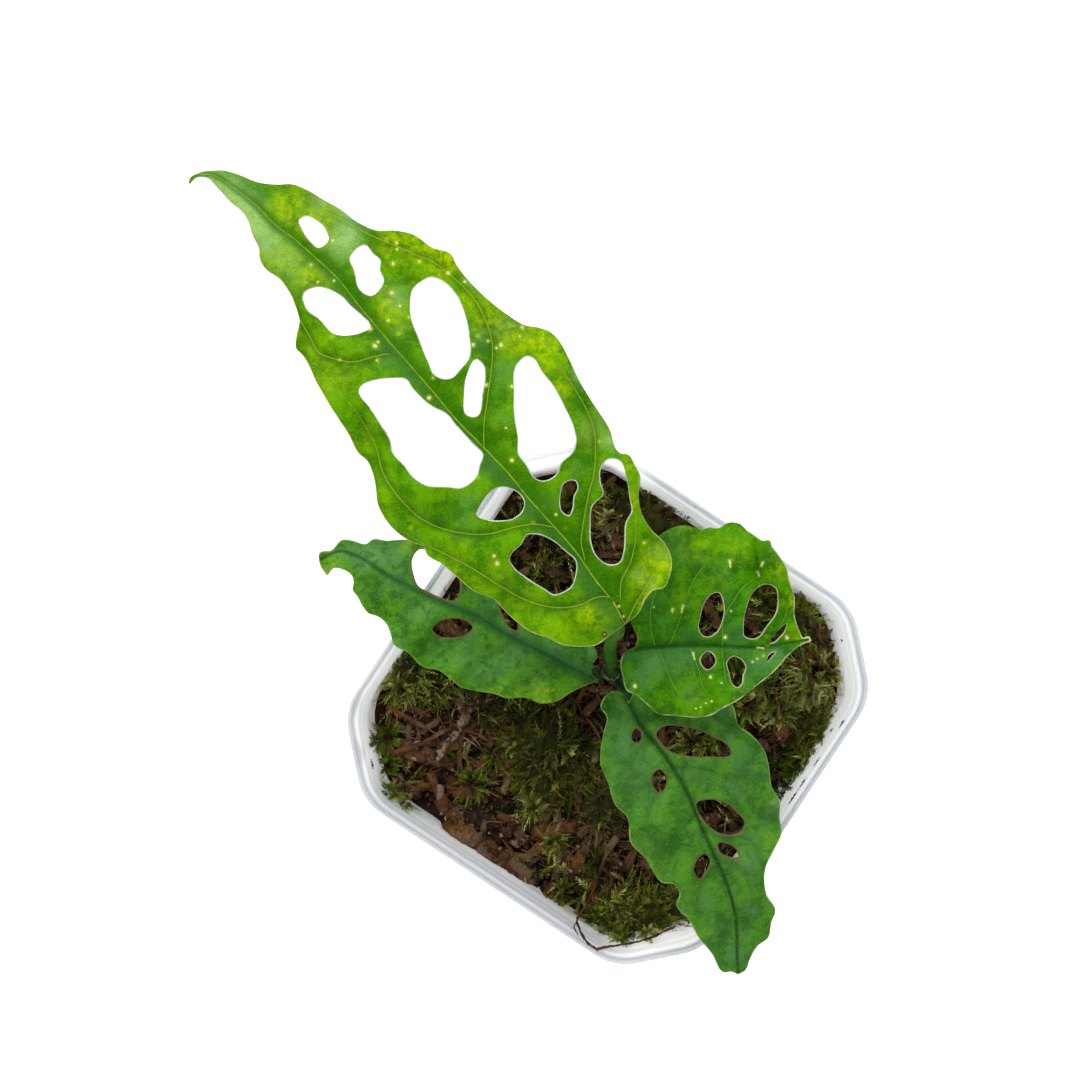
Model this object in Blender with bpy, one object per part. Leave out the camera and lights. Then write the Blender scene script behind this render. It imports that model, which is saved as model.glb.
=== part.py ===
"""A potted Monstera obliqua: a square white pot, bark and coir with moss on it, a short stem and four holed leaves.

The frame: +Z is up, the table is z = 0, the pot's sides lie along X and Y, and the origin is under its middle.
The leaves were drawn off one photograph taken from straight above. So a point of a leaf is a pixel of that
photograph and a height over the table, and `seen` turns those into a place. All sizes are in metres.
"""

import math

import bpy
import numpy as np
from mathutils import Vector
from mathutils.geometry import delaunay_2d_cdt

MM = 0.001
GAP = 0.3 * MM

# Driving sizes
POT_ACROSS = 100 * MM
POT_FOOT_ACROSS = 78 * MM
POT_HEIGHT = 90 * MM
POT_WALL = 1.1 * MM
POT_FLOOR = 1.8 * MM
LIP_HEIGHT = 7 * MM
LIP_WIDTH = 1.1 * MM
SOIL_TOP = 78 * MM
BLADE_THICKNESS = 0.7 * MM
STEM_RADIUS = 2.2 * MM

# The photograph's view: an eye straight over the table, in a square frame of 1080 pixels
EYE_HEIGHT = 540 * MM
FRAME_MIDDLE = np.array((540.0, 540.0))
POT_MIDDLE_PIXEL = np.array((608.0, 704.0))
POT_ACROSS_PIXELS = 434
PIXEL_SLOPE = POT_ACROSS / POT_ACROSS_PIXELS / (EYE_HEIGHT - POT_HEIGHT)
VIEW_TURN = math.radians(33.5)


def seen(u, v, height):
    """The place that the photograph shows at pixel (u, v), if it is this high over the table.

    In the photograph's own axes it is (u - 540, 540 - v) * slope * (eye - height). The pot's middle is taken off,
    and the rest is turned so that the pot's sides lie along X and Y.
    """
    u, v, height = np.broadcast_arrays(np.asarray(u, float), np.asarray(v, float), np.asarray(height, float))
    depth = EYE_HEIGHT - height
    pot_x, pot_y = (POT_MIDDLE_PIXEL - FRAME_MIDDLE) * PIXEL_SLOPE * (EYE_HEIGHT - POT_HEIGHT)
    right = (u - FRAME_MIDDLE[0]) * PIXEL_SLOPE * depth - pot_x
    up = pot_y - (v - FRAME_MIDDLE[1]) * PIXEL_SLOPE * depth
    cos, sin = math.cos(VIEW_TURN), math.sin(VIEW_TURN)
    return np.stack((right * cos - up * sin, right * sin + up * cos, height), axis=-1)


def smooth_run(points, step, closed=False):
    """A smooth curve through hand-set points, then points along it about one step apart.

    Each stretch is a cubic Hermite. Its slopes come from the chords before and after, weighted by their lengths, so
    that close points and far points can follow each other with no overshoot.
    """
    points = np.asarray(points, float)
    if closed:
        points = np.concatenate((points[-2:], points, points[:3]))
    chords = np.diff(points, axis=0)
    lengths = np.linalg.norm(chords, axis=1)[:, None]
    rates = chords / lengths
    slopes = np.concatenate((rates[:1], rates, rates[-1:]))
    weights = np.concatenate((lengths[:1], lengths, lengths[-1:]))
    slopes = (slopes[:-1] * weights[1:] + slopes[1:] * weights[:-1]) / (weights[:-1] + weights[1:])
    t = np.linspace(0, 1, 12, endpoint=False)[:, None, None]
    start, end = points[:-1], points[1:]
    curve = (
        start * (1 + 2 * t) * (1 - t) ** 2
        + end * t * t * (3 - 2 * t)
        + slopes[:-1] * lengths * t * (1 - t) ** 2
        - slopes[1:] * lengths * t * t * (1 - t)
    )
    curve = curve.transpose(1, 0, 2).reshape(-1, points.shape[1])
    if closed:
        curve = curve[24:-24]
    else:
        curve = np.concatenate((curve, points[-1:]))
    travelled = np.concatenate(([0], np.cumsum(np.linalg.norm(np.diff(curve, axis=0), axis=1))))
    count = max(3, round(travelled[-1] / step))
    stops = np.linspace(0, travelled[-1], count + 1)
    if closed:
        stops = stops[:-1]
    return np.stack([np.interp(stops, travelled, curve[:, axis]) for axis in range(points.shape[1])], axis=1)


def material(name, colour, roughness, metallic=0.0):
    """A plain Principled finish."""
    made = bpy.data.materials.new(name)
    made.use_nodes = True
    shader = made.node_tree.nodes["Principled BSDF"]
    shader.inputs["Base Color"].default_value = (*colour, 1)
    shader.inputs["Roughness"].default_value = roughness
    shader.inputs["Metallic"].default_value = metallic
    made.diffuse_color = (*colour, 1)
    return made


def add_object(name, points, faces, finish):
    """An object from points and faces, shaded smooth up to 40 degrees."""
    mesh = bpy.data.meshes.new(name)
    mesh.from_pydata([tuple(point) for point in points], [], [tuple(map(int, face)) for face in faces])
    mesh.materials.append(finish)
    mesh.shade_smooth()
    mesh.set_sharp_from_angle(angle=math.radians(40))
    made = bpy.data.objects.new(name, mesh)
    bpy.context.scene.collection.objects.link(made)
    return made


def fuse(target, helpers, operation="UNION"):
    """Joins helpers to the target, or cuts them from it, and removes them."""
    for helper in helpers:
        boolean = target.modifiers.new("fuse", "BOOLEAN")
        boolean.operation = operation
        boolean.object = helper
    graph = bpy.context.evaluated_depsgraph_get()
    mesh = bpy.data.meshes.new_from_object(target.evaluated_get(graph))
    target.modifiers.clear()
    target.data = mesh
    for helper in helpers:
        bpy.data.objects.remove(helper)
    return target


def loft(rings):
    """Faces between rings of equal length, from the first at the bottom, closed by a flat face at each end."""
    count = len(rings[0])
    faces = []
    for level in range(len(rings) - 1):
        low, high = level * count, (level + 1) * count
        for i in range(count):
            j = (i + 1) % count
            faces.append((low + i, low + j, high + j, high + i))
    last = (len(rings) - 1) * count
    faces.append(tuple(range(count - 1, -1, -1)))
    faces.append(tuple(last + i for i in range(count)))
    return np.concatenate(rings), faces


def tube(path, radii, sides=8):
    """Rings and caps of a round tube along a path, its rings turned as little as the path allows."""
    no_tubes_direction = (0.31, 0.17, 0.93)
    forward = np.gradient(path, axis=0)
    forward /= np.linalg.norm(forward, axis=1)[:, None]
    side = np.cross(forward[0], no_tubes_direction)
    angles = np.arange(sides) / sides * math.tau
    rings = []
    for centre, ahead, radius in zip(path, forward, radii):
        side = side - ahead * side.dot(ahead)
        side /= np.linalg.norm(side)
        over = np.cross(ahead, side)
        rings.append(centre + radius * (np.cos(angles)[:, None] * side + np.sin(angles)[:, None] * over))
    return loft(rings)


# The pot

SIDE_STEPS = 3
CORNER_CUT = 1.2
CORNER_ROUND = 0.26
CORNER_STEPS = 3


def unit_section():
    """The pot's outline seen from above, for a half width of 1: a square with cut corners, their ends rounded.

    A cut corner is a line at CORNER_CUT from the middle. Each of its two ends is an arc of 45 degrees and radius
    CORNER_ROUND, which starts CORNER_ROUND * tan(22.5 degrees) before the two lines would meet.
    """
    meet = CORNER_CUT * math.sqrt(2) - 1
    flat_end = meet - CORNER_ROUND * math.tan(math.radians(22.5))
    quarter = []
    for step in range(SIDE_STEPS):
        quarter.append((1, flat_end * (2 * step / SIDE_STEPS - 1)))
    centre = np.array((1 - CORNER_ROUND, flat_end))
    for step in range(CORNER_STEPS + 1):
        angle = math.radians(45) * step / CORNER_STEPS
        quarter.append(centre + CORNER_ROUND * np.array((math.cos(angle), math.sin(angle))))
    for step in range(CORNER_STEPS + 1):
        angle = math.radians(45) * (1 + step / CORNER_STEPS)
        quarter.append(centre[::-1] + CORNER_ROUND * np.array((math.cos(angle), math.sin(angle))))
    quarter = np.array(quarter[:-1])
    turns = []
    for side in range(4):
        cos, sin = round(math.cos(side * math.pi / 2)), round(math.sin(side * math.pi / 2))
        turns.append(quarter @ np.array(((cos, sin), (-sin, cos))))
    return np.concatenate(turns)


def section_ring(half_width, height):
    """The pot's outline at this half width and height."""
    outline = unit_section() * half_width
    return np.column_stack((outline, np.full(len(outline), height)))


def outer_half(height):
    """Half the pot's width over its tapering outer faces."""
    return (POT_FOOT_ACROSS + (POT_ACROSS - 2 * LIP_WIDTH - POT_FOOT_ACROSS) * height / POT_HEIGHT) / 2


def make_pot():
    """A tapering shell with a flat lip turned outwards, a skirt under the lip and drainage holes in the floor."""
    lip_half = POT_ACROSS / 2
    skirt = POT_HEIGHT - LIP_HEIGHT
    soften = 0.5 * MM
    profile = (
        (POT_FOOT_ACROSS / 2 - 1.5 * MM, 0),
        (POT_FOOT_ACROSS / 2, 1.5 * MM),
        (outer_half(skirt), skirt),
        (lip_half - 2 * soften, skirt),
        (lip_half - soften, skirt + soften),
        (lip_half, POT_HEIGHT - soften),
        (lip_half - soften, POT_HEIGHT),
        (outer_half(POT_HEIGHT) - POT_WALL + soften, POT_HEIGHT),
        (outer_half(POT_HEIGHT) - POT_WALL, POT_HEIGHT - soften),
        (outer_half(SOIL_TOP) - POT_WALL, SOIL_TOP),
        (outer_half(POT_FLOOR) - POT_WALL, POT_FLOOR),
    )
    points, faces = loft([section_ring(half, height) for half, height in profile])
    pot = add_object("pot", points, faces, material("pot_plastic", (0.80, 0.81, 0.82), 0.38))
    holes = []
    for index in range(8):
        angle = math.tau * (index + 0.5) / 8
        middle = 24 * MM * np.array((math.cos(angle), math.sin(angle)))
        path = np.array(((*middle, -MM), (*middle, POT_FLOOR + MM)))
        holes.append(add_object("hole", *tube(path, (3.5 * MM, 3.5 * MM), 10), pot.data.materials[0]))
    return fuse(pot, holes, "DIFFERENCE")


# The substrate

SOIL_RINGS = 11
SOIL_SWELLS = 9
CRUMB_DEPTH = 1.0 * MM


def soil_height(x, y):
    """The substrate's upper surface: a level, a low mound round the stem, and seeded swells 18 to 34 mm long."""
    draw = np.random.default_rng(11)
    height = SOIL_TOP + 1.2 * MM * np.exp(-(x * x + y * y) / (26 * MM) ** 2)
    for _ in range(SOIL_SWELLS):
        angle, phase = draw.uniform(0, math.tau, 2)
        wave = math.tau / draw.uniform(18 * MM, 34 * MM)
        height = height + 0.42 * MM * np.sin(wave * (x * math.cos(angle) + y * math.sin(angle)) + phase)
    return height


def kept_inside(flat):
    """Points of the substrate's plane, drawn in where they would reach past the pot's inner faces."""
    half = outer_half(SOIL_TOP) - POT_WALL - 1.6 * MM
    x, y = np.abs(flat[:, 0]), np.abs(flat[:, 1])
    reach = np.maximum(np.maximum(x, y), (x + y) / (CORNER_CUT * math.sqrt(2))) / half
    return flat / np.maximum(reach, 1)[:, None]


def bark_chip(name, start, end, width, thickness, finish, skew=0.0):
    """A splinter of bark between two pixels, half sunk in the substrate: a box with one end narrower and turned."""
    ends = [seen(*pixel, SOIL_TOP) for pixel in (start, end)]
    along = ends[1] - ends[0]
    along /= np.linalg.norm(along)
    across = np.array((-along[1], along[0], 0))
    rings = []
    for place, narrow, lean in ((ends[0], 0.8, skew), (ends[1], 0.55, -skew)):
        base = place.copy()
        base[2] = soil_height(place[0], place[1])
        top = base + (0, 0, 0.8 * thickness)
        low = base - (0, 0, 0.9 * thickness)
        half = across * width * narrow / 2
        shift = along * lean * width
        ring = np.array((low - half, low + half, top + half * 0.8 + shift, top - half * 0.8 - shift))
        ring[:, :2] = kept_inside(ring[:, :2])
        rings.append(ring)
    points, faces = loft(rings)
    return add_object(name, points, faces, finish)


# Chips of bark: the pixels of both ends, width and thickness in millimetres, and skew
BARK = (
    ((393, 713), (428, 731), 2.2, 2.2, 0.5),
    ((440, 751), (473, 711), 2.2, 2.4, 0.3),
    ((400, 746), (456, 764), 6.0, 3.4, 0.2),
    ((441, 818), (516, 872), 9.5, 3.6, 0.2),
    ((470, 768), (500, 752), 3.2, 2.6, 0.4),
    ((536, 833), (578, 822), 4.4, 3.4, 0.3),
    ((571, 878), (590, 836), 3.6, 2.8, 0.2),
    ((648, 858), (664, 878), 5.5, 4.4, 0.3),
    ((602, 846), (622, 871), 3.2, 2.6, 0.4),
    ((758, 735), (779, 724), 3.0, 2.6, 0.3),
    ((790, 668), (818, 647), 4.4, 3.0, 0.2),
    ((706, 605), (729, 640), 3.2, 2.8, 0.3),
    ((598, 520), (622, 548), 3.4, 3.0, 0.3),
    ((536, 560), (566, 580), 4.2, 3.0, 0.2),
    ((460, 640), (442, 659), 3.6, 2.8, 0.3),
    ((470, 692), (496, 712), 2.8, 2.4, 0.4),
    ((452, 785), (486, 797), 4.6, 3.4, 0.3),
    ((398, 782), (428, 798), 3.4, 3.0, 0.2),
    ((432, 688), (452, 701), 3.4, 2.6, 0.3),
    ((503, 838), (522, 812), 2.4, 2.6, 0.4),
    ((545, 890), (566, 905), 3.6, 3.0, 0.2),
    ((500, 560), (520, 530), 3.0, 2.8, 0.3),
    ((575, 600), (560, 632), 3.8, 3.0, 0.2),
    ((740, 790), (757, 764), 4.0, 3.2, 0.3),
    ((730, 560), (752, 578), 3.6, 2.8, 0.3),
)


def make_substrate():
    """The plug of bark and coir: it fills the pot, its crumbly top has pits, and chips of bark stand out of it."""
    finish = material("bark", (0.11, 0.055, 0.03), 0.95)
    floor = POT_FLOOR + GAP
    edge_half = outer_half(SOIL_TOP - 4 * MM) - POT_WALL - GAP
    rings = [
        section_ring(outer_half(floor) - POT_WALL - GAP, floor),
        section_ring(outer_half(SOIL_TOP / 2) - POT_WALL - GAP, SOIL_TOP / 2),
    ]
    draw = np.random.default_rng(23)
    for share in np.linspace(1, 0.05, SOIL_RINGS):
        ring = section_ring(edge_half * share, 0)
        ring[:, 2] = soil_height(ring[:, 0], ring[:, 1])
        if share > 0.1:
            ring[:, 2] -= draw.uniform(0, CRUMB_DEPTH, len(ring))
        rings.append(ring)
    soil = add_object("substrate", *loft(rings), finish)
    chips = []
    for start, end, width, thickness, skew in BARK:
        chips.append(bark_chip("chip", start, end, width * MM, thickness * MM, finish, skew))
    fuse(soil, chips)
    foot, top = seen(*STEM_FOOT), seen(*STEM_TOP)
    hole_path = np.array((foot - (0, 0, GAP), top + (top - foot) * 0.5))
    hole = add_object("hole", *tube(hole_path, np.full(2, STEM_RADIUS + 2 * GAP), 12), finish)
    return fuse(soil, [hole], "DIFFERENCE")


# Moss cushions: name, middle pixel, length, width and height in millimetres, and the long axis's turn in degrees
MOSS = (
    ("moss_left", (410, 665), 13, 10, 4.5, 118),
    ("moss_centre", (546, 752), 28, 17, 5.0, 112),
    ("moss_bottom", (644, 914), 27, 11, 4.5, 8),
    ("moss_right", (807, 732), 16, 9, 5.0, 57),
    ("moss_corner", (790, 624), 12, 12, 5.5, 40),
    ("moss_top", (645, 517), 20, 9, 5.0, 150),
    ("moss_middle", (606, 806), 13, 10, 4.0, 20),
)
MOSS_SECTORS = 18
MOSS_RINGS = 4
MOSS_CLEARANCE = 0.7 * MM


def make_moss(name, middle, length, width, height, turn, finish, draw):
    """A cushion on the substrate, its edge lobed and its top in tufts.

    In plan it is an ellipse whose radius swings by a sixth. At the share r of the radius it is height * (1 - r^2) ^ 0.6
    thick, and each of its top points is drawn up or down by a seeded quarter of that.
    """
    x0, y0, _ = seen(*middle, SOIL_TOP)
    angles = np.arange(MOSS_SECTORS) / MOSS_SECTORS * math.tau
    lobes = 1 + 0.09 * np.sin(3 * angles + draw.uniform(0, 6)) + 0.07 * np.sin(5 * angles + draw.uniform(0, 6))
    turn = math.radians(turn) + VIEW_TURN
    along = np.array((math.cos(turn), math.sin(turn)))
    across = np.array((-math.sin(turn), math.cos(turn)))
    reach = np.outer(np.cos(angles) * lobes * length / 2, along) + np.outer(np.sin(angles) * lobes * width / 2, across)

    def ring(share, upper):
        flat = kept_inside(np.array((x0, y0)) + reach * share)
        ground = soil_height(flat[:, 0], flat[:, 1]) + MOSS_CLEARANCE
        thick = 0.5 * MM + height * (1 - share * share) ** 0.6
        thick = thick * (1 + draw.uniform(-0.22, 0.3, len(flat)) * (share < 1))
        return np.column_stack((flat, ground + (thick if upper else 0)))

    shares = np.linspace(0.08, 1, MOSS_RINGS + 1)
    rings = [ring(share, False) for share in shares]
    rings += [ring(share, True) for share in shares[::-1]]
    return add_object(name, *loft(rings), finish)


def make_all_moss():
    finish = material("moss", (0.12, 0.20, 0.03), 0.95)
    draw = np.random.default_rng(5)
    for name, middle, length, width, height, turn in MOSS:
        make_moss(name, middle, length * MM, width * MM, height * MM, turn, finish, draw)


# The stem: its foot in the substrate and its top, as pixel and height

STEM_FOOT = (607.0, 672.0, 62 * MM)
STEM_TOP = (612.0, 671.0, 90 * MM)


def stem_place(height):
    """The middle of the stem at a height."""
    foot, top = seen(*STEM_FOOT), seen(*STEM_TOP)
    share = (height - foot[2]) / (top[2] - foot[2])
    return foot + (top - foot) * share


def make_stem(finish):
    """A short upright stem with a ring at each old leaf's place and its foot narrowed to a root stub."""
    levels = (
        (62.0, 0.62), (65.0, 0.92), (72.0, 0.96), (77.0, 0.92), (80.4, 0.92), (81.2, 1.0), (82.0, 0.92),
        (83.2, 0.92), (88.3, 0.9), (89.0, 0.98), (90.0, 0.84),
    )
    path = np.array([stem_place(height * MM) for height, _ in levels])
    radii = [share * STEM_RADIUS for _, share in levels]
    return add_object("stem", *tube(path, radii, 12), finish)


# The leaves

class Leaf:
    """One leaf as it was drawn: outline runs from corner to corner, holes, midrib and the shape across it.

    ridge: the midrib's heights in millimetres, evenly spaced from base to tip
    fold: how steeply both halves rise from the midrib, at the base and at the tip
    tilt: how steeply the left half rises and the right half falls, seen from base to tip
    droop: how much the halves bend down again, in millimetres at 10 mm from the midrib
    ripple: height of the margin's waves in millimetres at 10 mm from the midrib, and their number
    swells: places that rise or sink: pixel, spread in pixels, rise in millimetres
    stalk: the leaf stalk's route from the stem to the blade: pixel and height in millimetres
    """

    def __init__(self, name, runs, holes, midrib, ridge, fold, tilt, droop, ripple, swells, stalk):
        self.name = name
        self.runs = runs
        self.holes = holes
        self.rib = smooth_run(midrib, 4.0)
        self.ridge = ridge
        self.fold = fold
        self.tilt = tilt
        self.droop = droop
        self.ripple = ripple
        self.swells = swells
        self.stalk = stalk

    def across_and_along(self, pixels):
        """For each pixel: the share of the midrib passed, and the distance from it in metres, + on its left."""
        reach = 80.0
        rib = self.rib
        before = rib[0] - reach * (rib[2] - rib[0]) / np.linalg.norm(rib[2] - rib[0])
        after = rib[-1] + reach * (rib[-1] - rib[-3]) / np.linalg.norm(rib[-1] - rib[-3])
        line = np.concatenate((before[None], rib, after[None]))
        start, chord = line[:-1], np.diff(line, axis=0)
        length = np.linalg.norm(chord, axis=1)
        from_start = pixels[:, None, :] - start[None]
        share = np.clip((from_start * chord).sum(axis=2) / length**2, 0, 1)
        offset = from_start - share[..., None] * chord
        distance = np.linalg.norm(offset, axis=2)
        nearest = distance.argmin(axis=1)
        rows = np.arange(len(pixels))
        passed = np.concatenate(([0], np.cumsum(length)))[nearest] + share[rows, nearest] * length[nearest]
        along = (passed - reach) / (length.sum() - 2 * reach)
        chosen, apart = chord[nearest], offset[rows, nearest]
        left = chosen[:, 1] * apart[:, 0] - chosen[:, 0] * apart[:, 1]
        scale = PIXEL_SLOPE * (EYE_HEIGHT - self.ridge[0] * MM)
        return along, np.sign(left) * distance[rows, nearest] * scale

    def height(self, pixels):
        """Height of the blade's middle surface: the ridge, then fold, droop, tilt and ripples across it, and swells."""
        along, across = self.across_and_along(pixels)
        inside = np.clip(along, 0, 1)
        ridge = smooth_run([(i, h) for i, h in enumerate(self.ridge)], 0.02)
        height = np.interp(inside * (len(self.ridge) - 1), ridge[:, 0], ridge[:, 1]) * MM
        fold = self.fold[0] + (self.fold[1] - self.fold[0]) * inside
        ten = across / (10 * MM)
        height += fold * (np.hypot(across, 1.5 * MM) - 1.5 * MM)
        height += self.tilt * across - self.droop * MM * ten**2
        rise, count = self.ripple
        side = np.where(across > 0, 0.6, 2.4)
        waves = np.sin(math.tau * count * along + side) + 0.6 * np.sin(math.tau * 0.61 * count * along + 3 * side)
        height += rise * MM * np.minimum(ten**2, 3) * waves
        for u, v, spread, swell in self.swells:
            away = ((pixels - (u, v)) ** 2).sum(axis=1)
            height += swell * MM * np.exp(-away / spread**2)
        return height

    def place(self, pixels):
        return seen(pixels[:, 0], pixels[:, 1], self.height(pixels))


def even_odd(points, loops):
    """True where a point lies inside an odd number of the closed loops."""
    inside = np.zeros(len(points), bool)
    for loop in loops:
        start, end = loop, np.roll(loop, -1, axis=0)
        x, y = points[:, None, 0], points[:, None, 1]
        crosses = (start[:, 1] > y) != (end[:, 1] > y)
        run = end[:, 1] - start[:, 1]
        run = np.where(run == 0, 1, run)
        where = start[:, 0] + (y - start[:, 1]) * (end[:, 0] - start[:, 0]) / run
        inside ^= (crosses & (x < where)).sum(axis=1) % 2 == 1
    return inside


def blade_net(leaf, edge_step, inner_step):
    """Triangles over the blade in the photograph's pixels: its loops, then a hexagonal grid between them."""
    outline = np.concatenate([smooth_run(run, edge_step)[:-1] for run in leaf.runs])
    loops = [outline] + [smooth_run(hole, edge_step * 0.9, closed=True) for hole in leaf.holes]
    low, high = outline.min(axis=0), outline.max(axis=0)
    row_step = inner_step * math.sqrt(3) / 2
    grid = []
    for row, v in enumerate(np.arange(low[1], high[1], row_step)):
        us = np.arange(low[0] + (row % 2) * inner_step / 2, high[0], inner_step)
        grid.append(np.column_stack((us, np.full(len(us), v))))
    grid = np.concatenate(grid)
    grid = grid[even_odd(grid, loops)]
    edges = np.concatenate(loops)
    clear = np.array([np.linalg.norm(edges - point, axis=1).min() for point in grid])
    grid = grid[clear > 0.62 * inner_step]
    pixels = np.concatenate((edges, grid))
    rims = []
    first = 0
    for loop in loops:
        ids = np.arange(first, first + len(loop))
        rims += list(zip(ids, np.roll(ids, -1)))
        first += len(loop)
    result = delaunay_2d_cdt([Vector(p) for p in pixels], [tuple(map(int, rim)) for rim in rims], [], 0, 1e-4)
    pixels = np.array([tuple(p) for p in result[0]])
    faces = np.array(result[2])
    faces = faces[even_odd(pixels[faces].mean(axis=1), loops)]
    a, b, c = (pixels[faces[:, i]] for i in range(3))
    turned = (b[:, 0] - a[:, 0]) * (c[:, 1] - a[:, 1]) - (b[:, 1] - a[:, 1]) * (c[:, 0] - a[:, 0]) > 0
    faces[turned] = faces[turned][:, ::-1]
    return pixels, faces


def blade_solid(leaf, edge_step, inner_step):
    """The net on the blade's surface, twice, half a thickness to each side of it, with walls along every loop."""
    pixels, faces = blade_net(leaf, edge_step, inner_step)
    middle = leaf.place(pixels)
    a, b, c = (middle[faces[:, i]] for i in range(3))
    face_normals = np.cross(b - a, c - a)
    normals = np.zeros_like(middle)
    for corner in range(3):
        np.add.at(normals, faces[:, corner], face_normals)
    normals /= np.linalg.norm(normals, axis=1)[:, None]
    if normals[:, 2].mean() < 0:
        normals, faces = -normals, faces[:, ::-1]
    points = np.concatenate((middle + normals * BLADE_THICKNESS / 2, middle - normals * BLADE_THICKNESS / 2))
    count = len(middle)
    directed = {(int(f[i]), int(f[(i + 1) % 3])) for f in faces for i in range(3)}
    rims = sorted(edge for edge in directed if edge[::-1] not in directed)
    walls = [(j, i, i + count, j + count) for i, j in rims]
    return points, list(faces) + list(faces[:, ::-1] + count) + walls


FLARE_LENGTH = 5 * MM


def make_leaf(leaf, root, stalk_radii, edge_step, inner_step, finish):
    """The blade, with its stalk fused to it. The stalk runs on under the midrib and thins out into the blade.

    root is where the stalk starts at the stem, as two places: it starts square to the line between them, and its
    first stretch flares out to clasp the stem.
    """
    blade = add_object(leaf.name, *blade_solid(leaf, edge_step, inner_step), finish)
    route = [root[1]] + [seen(u, v, height * MM) for u, v, height in leaf.stalk]
    base_radius, top_radius = stalk_radii
    rib_share = np.array((0.035, 0.08, 0.14))
    rib_radii = top_radius * np.array((0.8, 0.6, 0.3))
    rib_pixels = leaf.rib[np.round(rib_share * (len(leaf.rib) - 1)).astype(int)]
    under = leaf.place(rib_pixels) - np.column_stack((np.zeros((3, 2)), rib_radii * 0.95))
    corners = np.concatenate((route, under))
    path = np.concatenate(((root[0], (root[0] + root[1]) / 2), smooth_run(corners, 2.6 * MM)))
    travelled = np.concatenate(([0], np.cumsum(np.linalg.norm(np.diff(path, axis=0), axis=1))))
    marks = [np.linalg.norm(path - corner, axis=1).argmin() for corner in corners[len(route) - 1:]]
    flare = base_radius * np.array((1.2, 1.0))
    radii = np.interp(travelled, (0, FLARE_LENGTH, *travelled[marks]), (*flare, top_radius, *rib_radii))
    stalk = add_object("stalk", *tube(path, radii), finish)
    return fuse(blade, [stalk])


def clasp(height, turn):
    """Where a leaf stalk leaves the stem's side: a place one gap off it, and one further out and up.

    turn is the direction in the photograph, in degrees counterclockwise from its right.
    """
    middle = stem_place(height * MM)
    angle = math.radians(turn) + VIEW_TURN
    out = np.array((math.cos(angle), math.sin(angle), 0))
    return middle + out * (STEM_RADIUS + GAP), middle + out * (STEM_RADIUS + 1.5 * MM)


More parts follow.
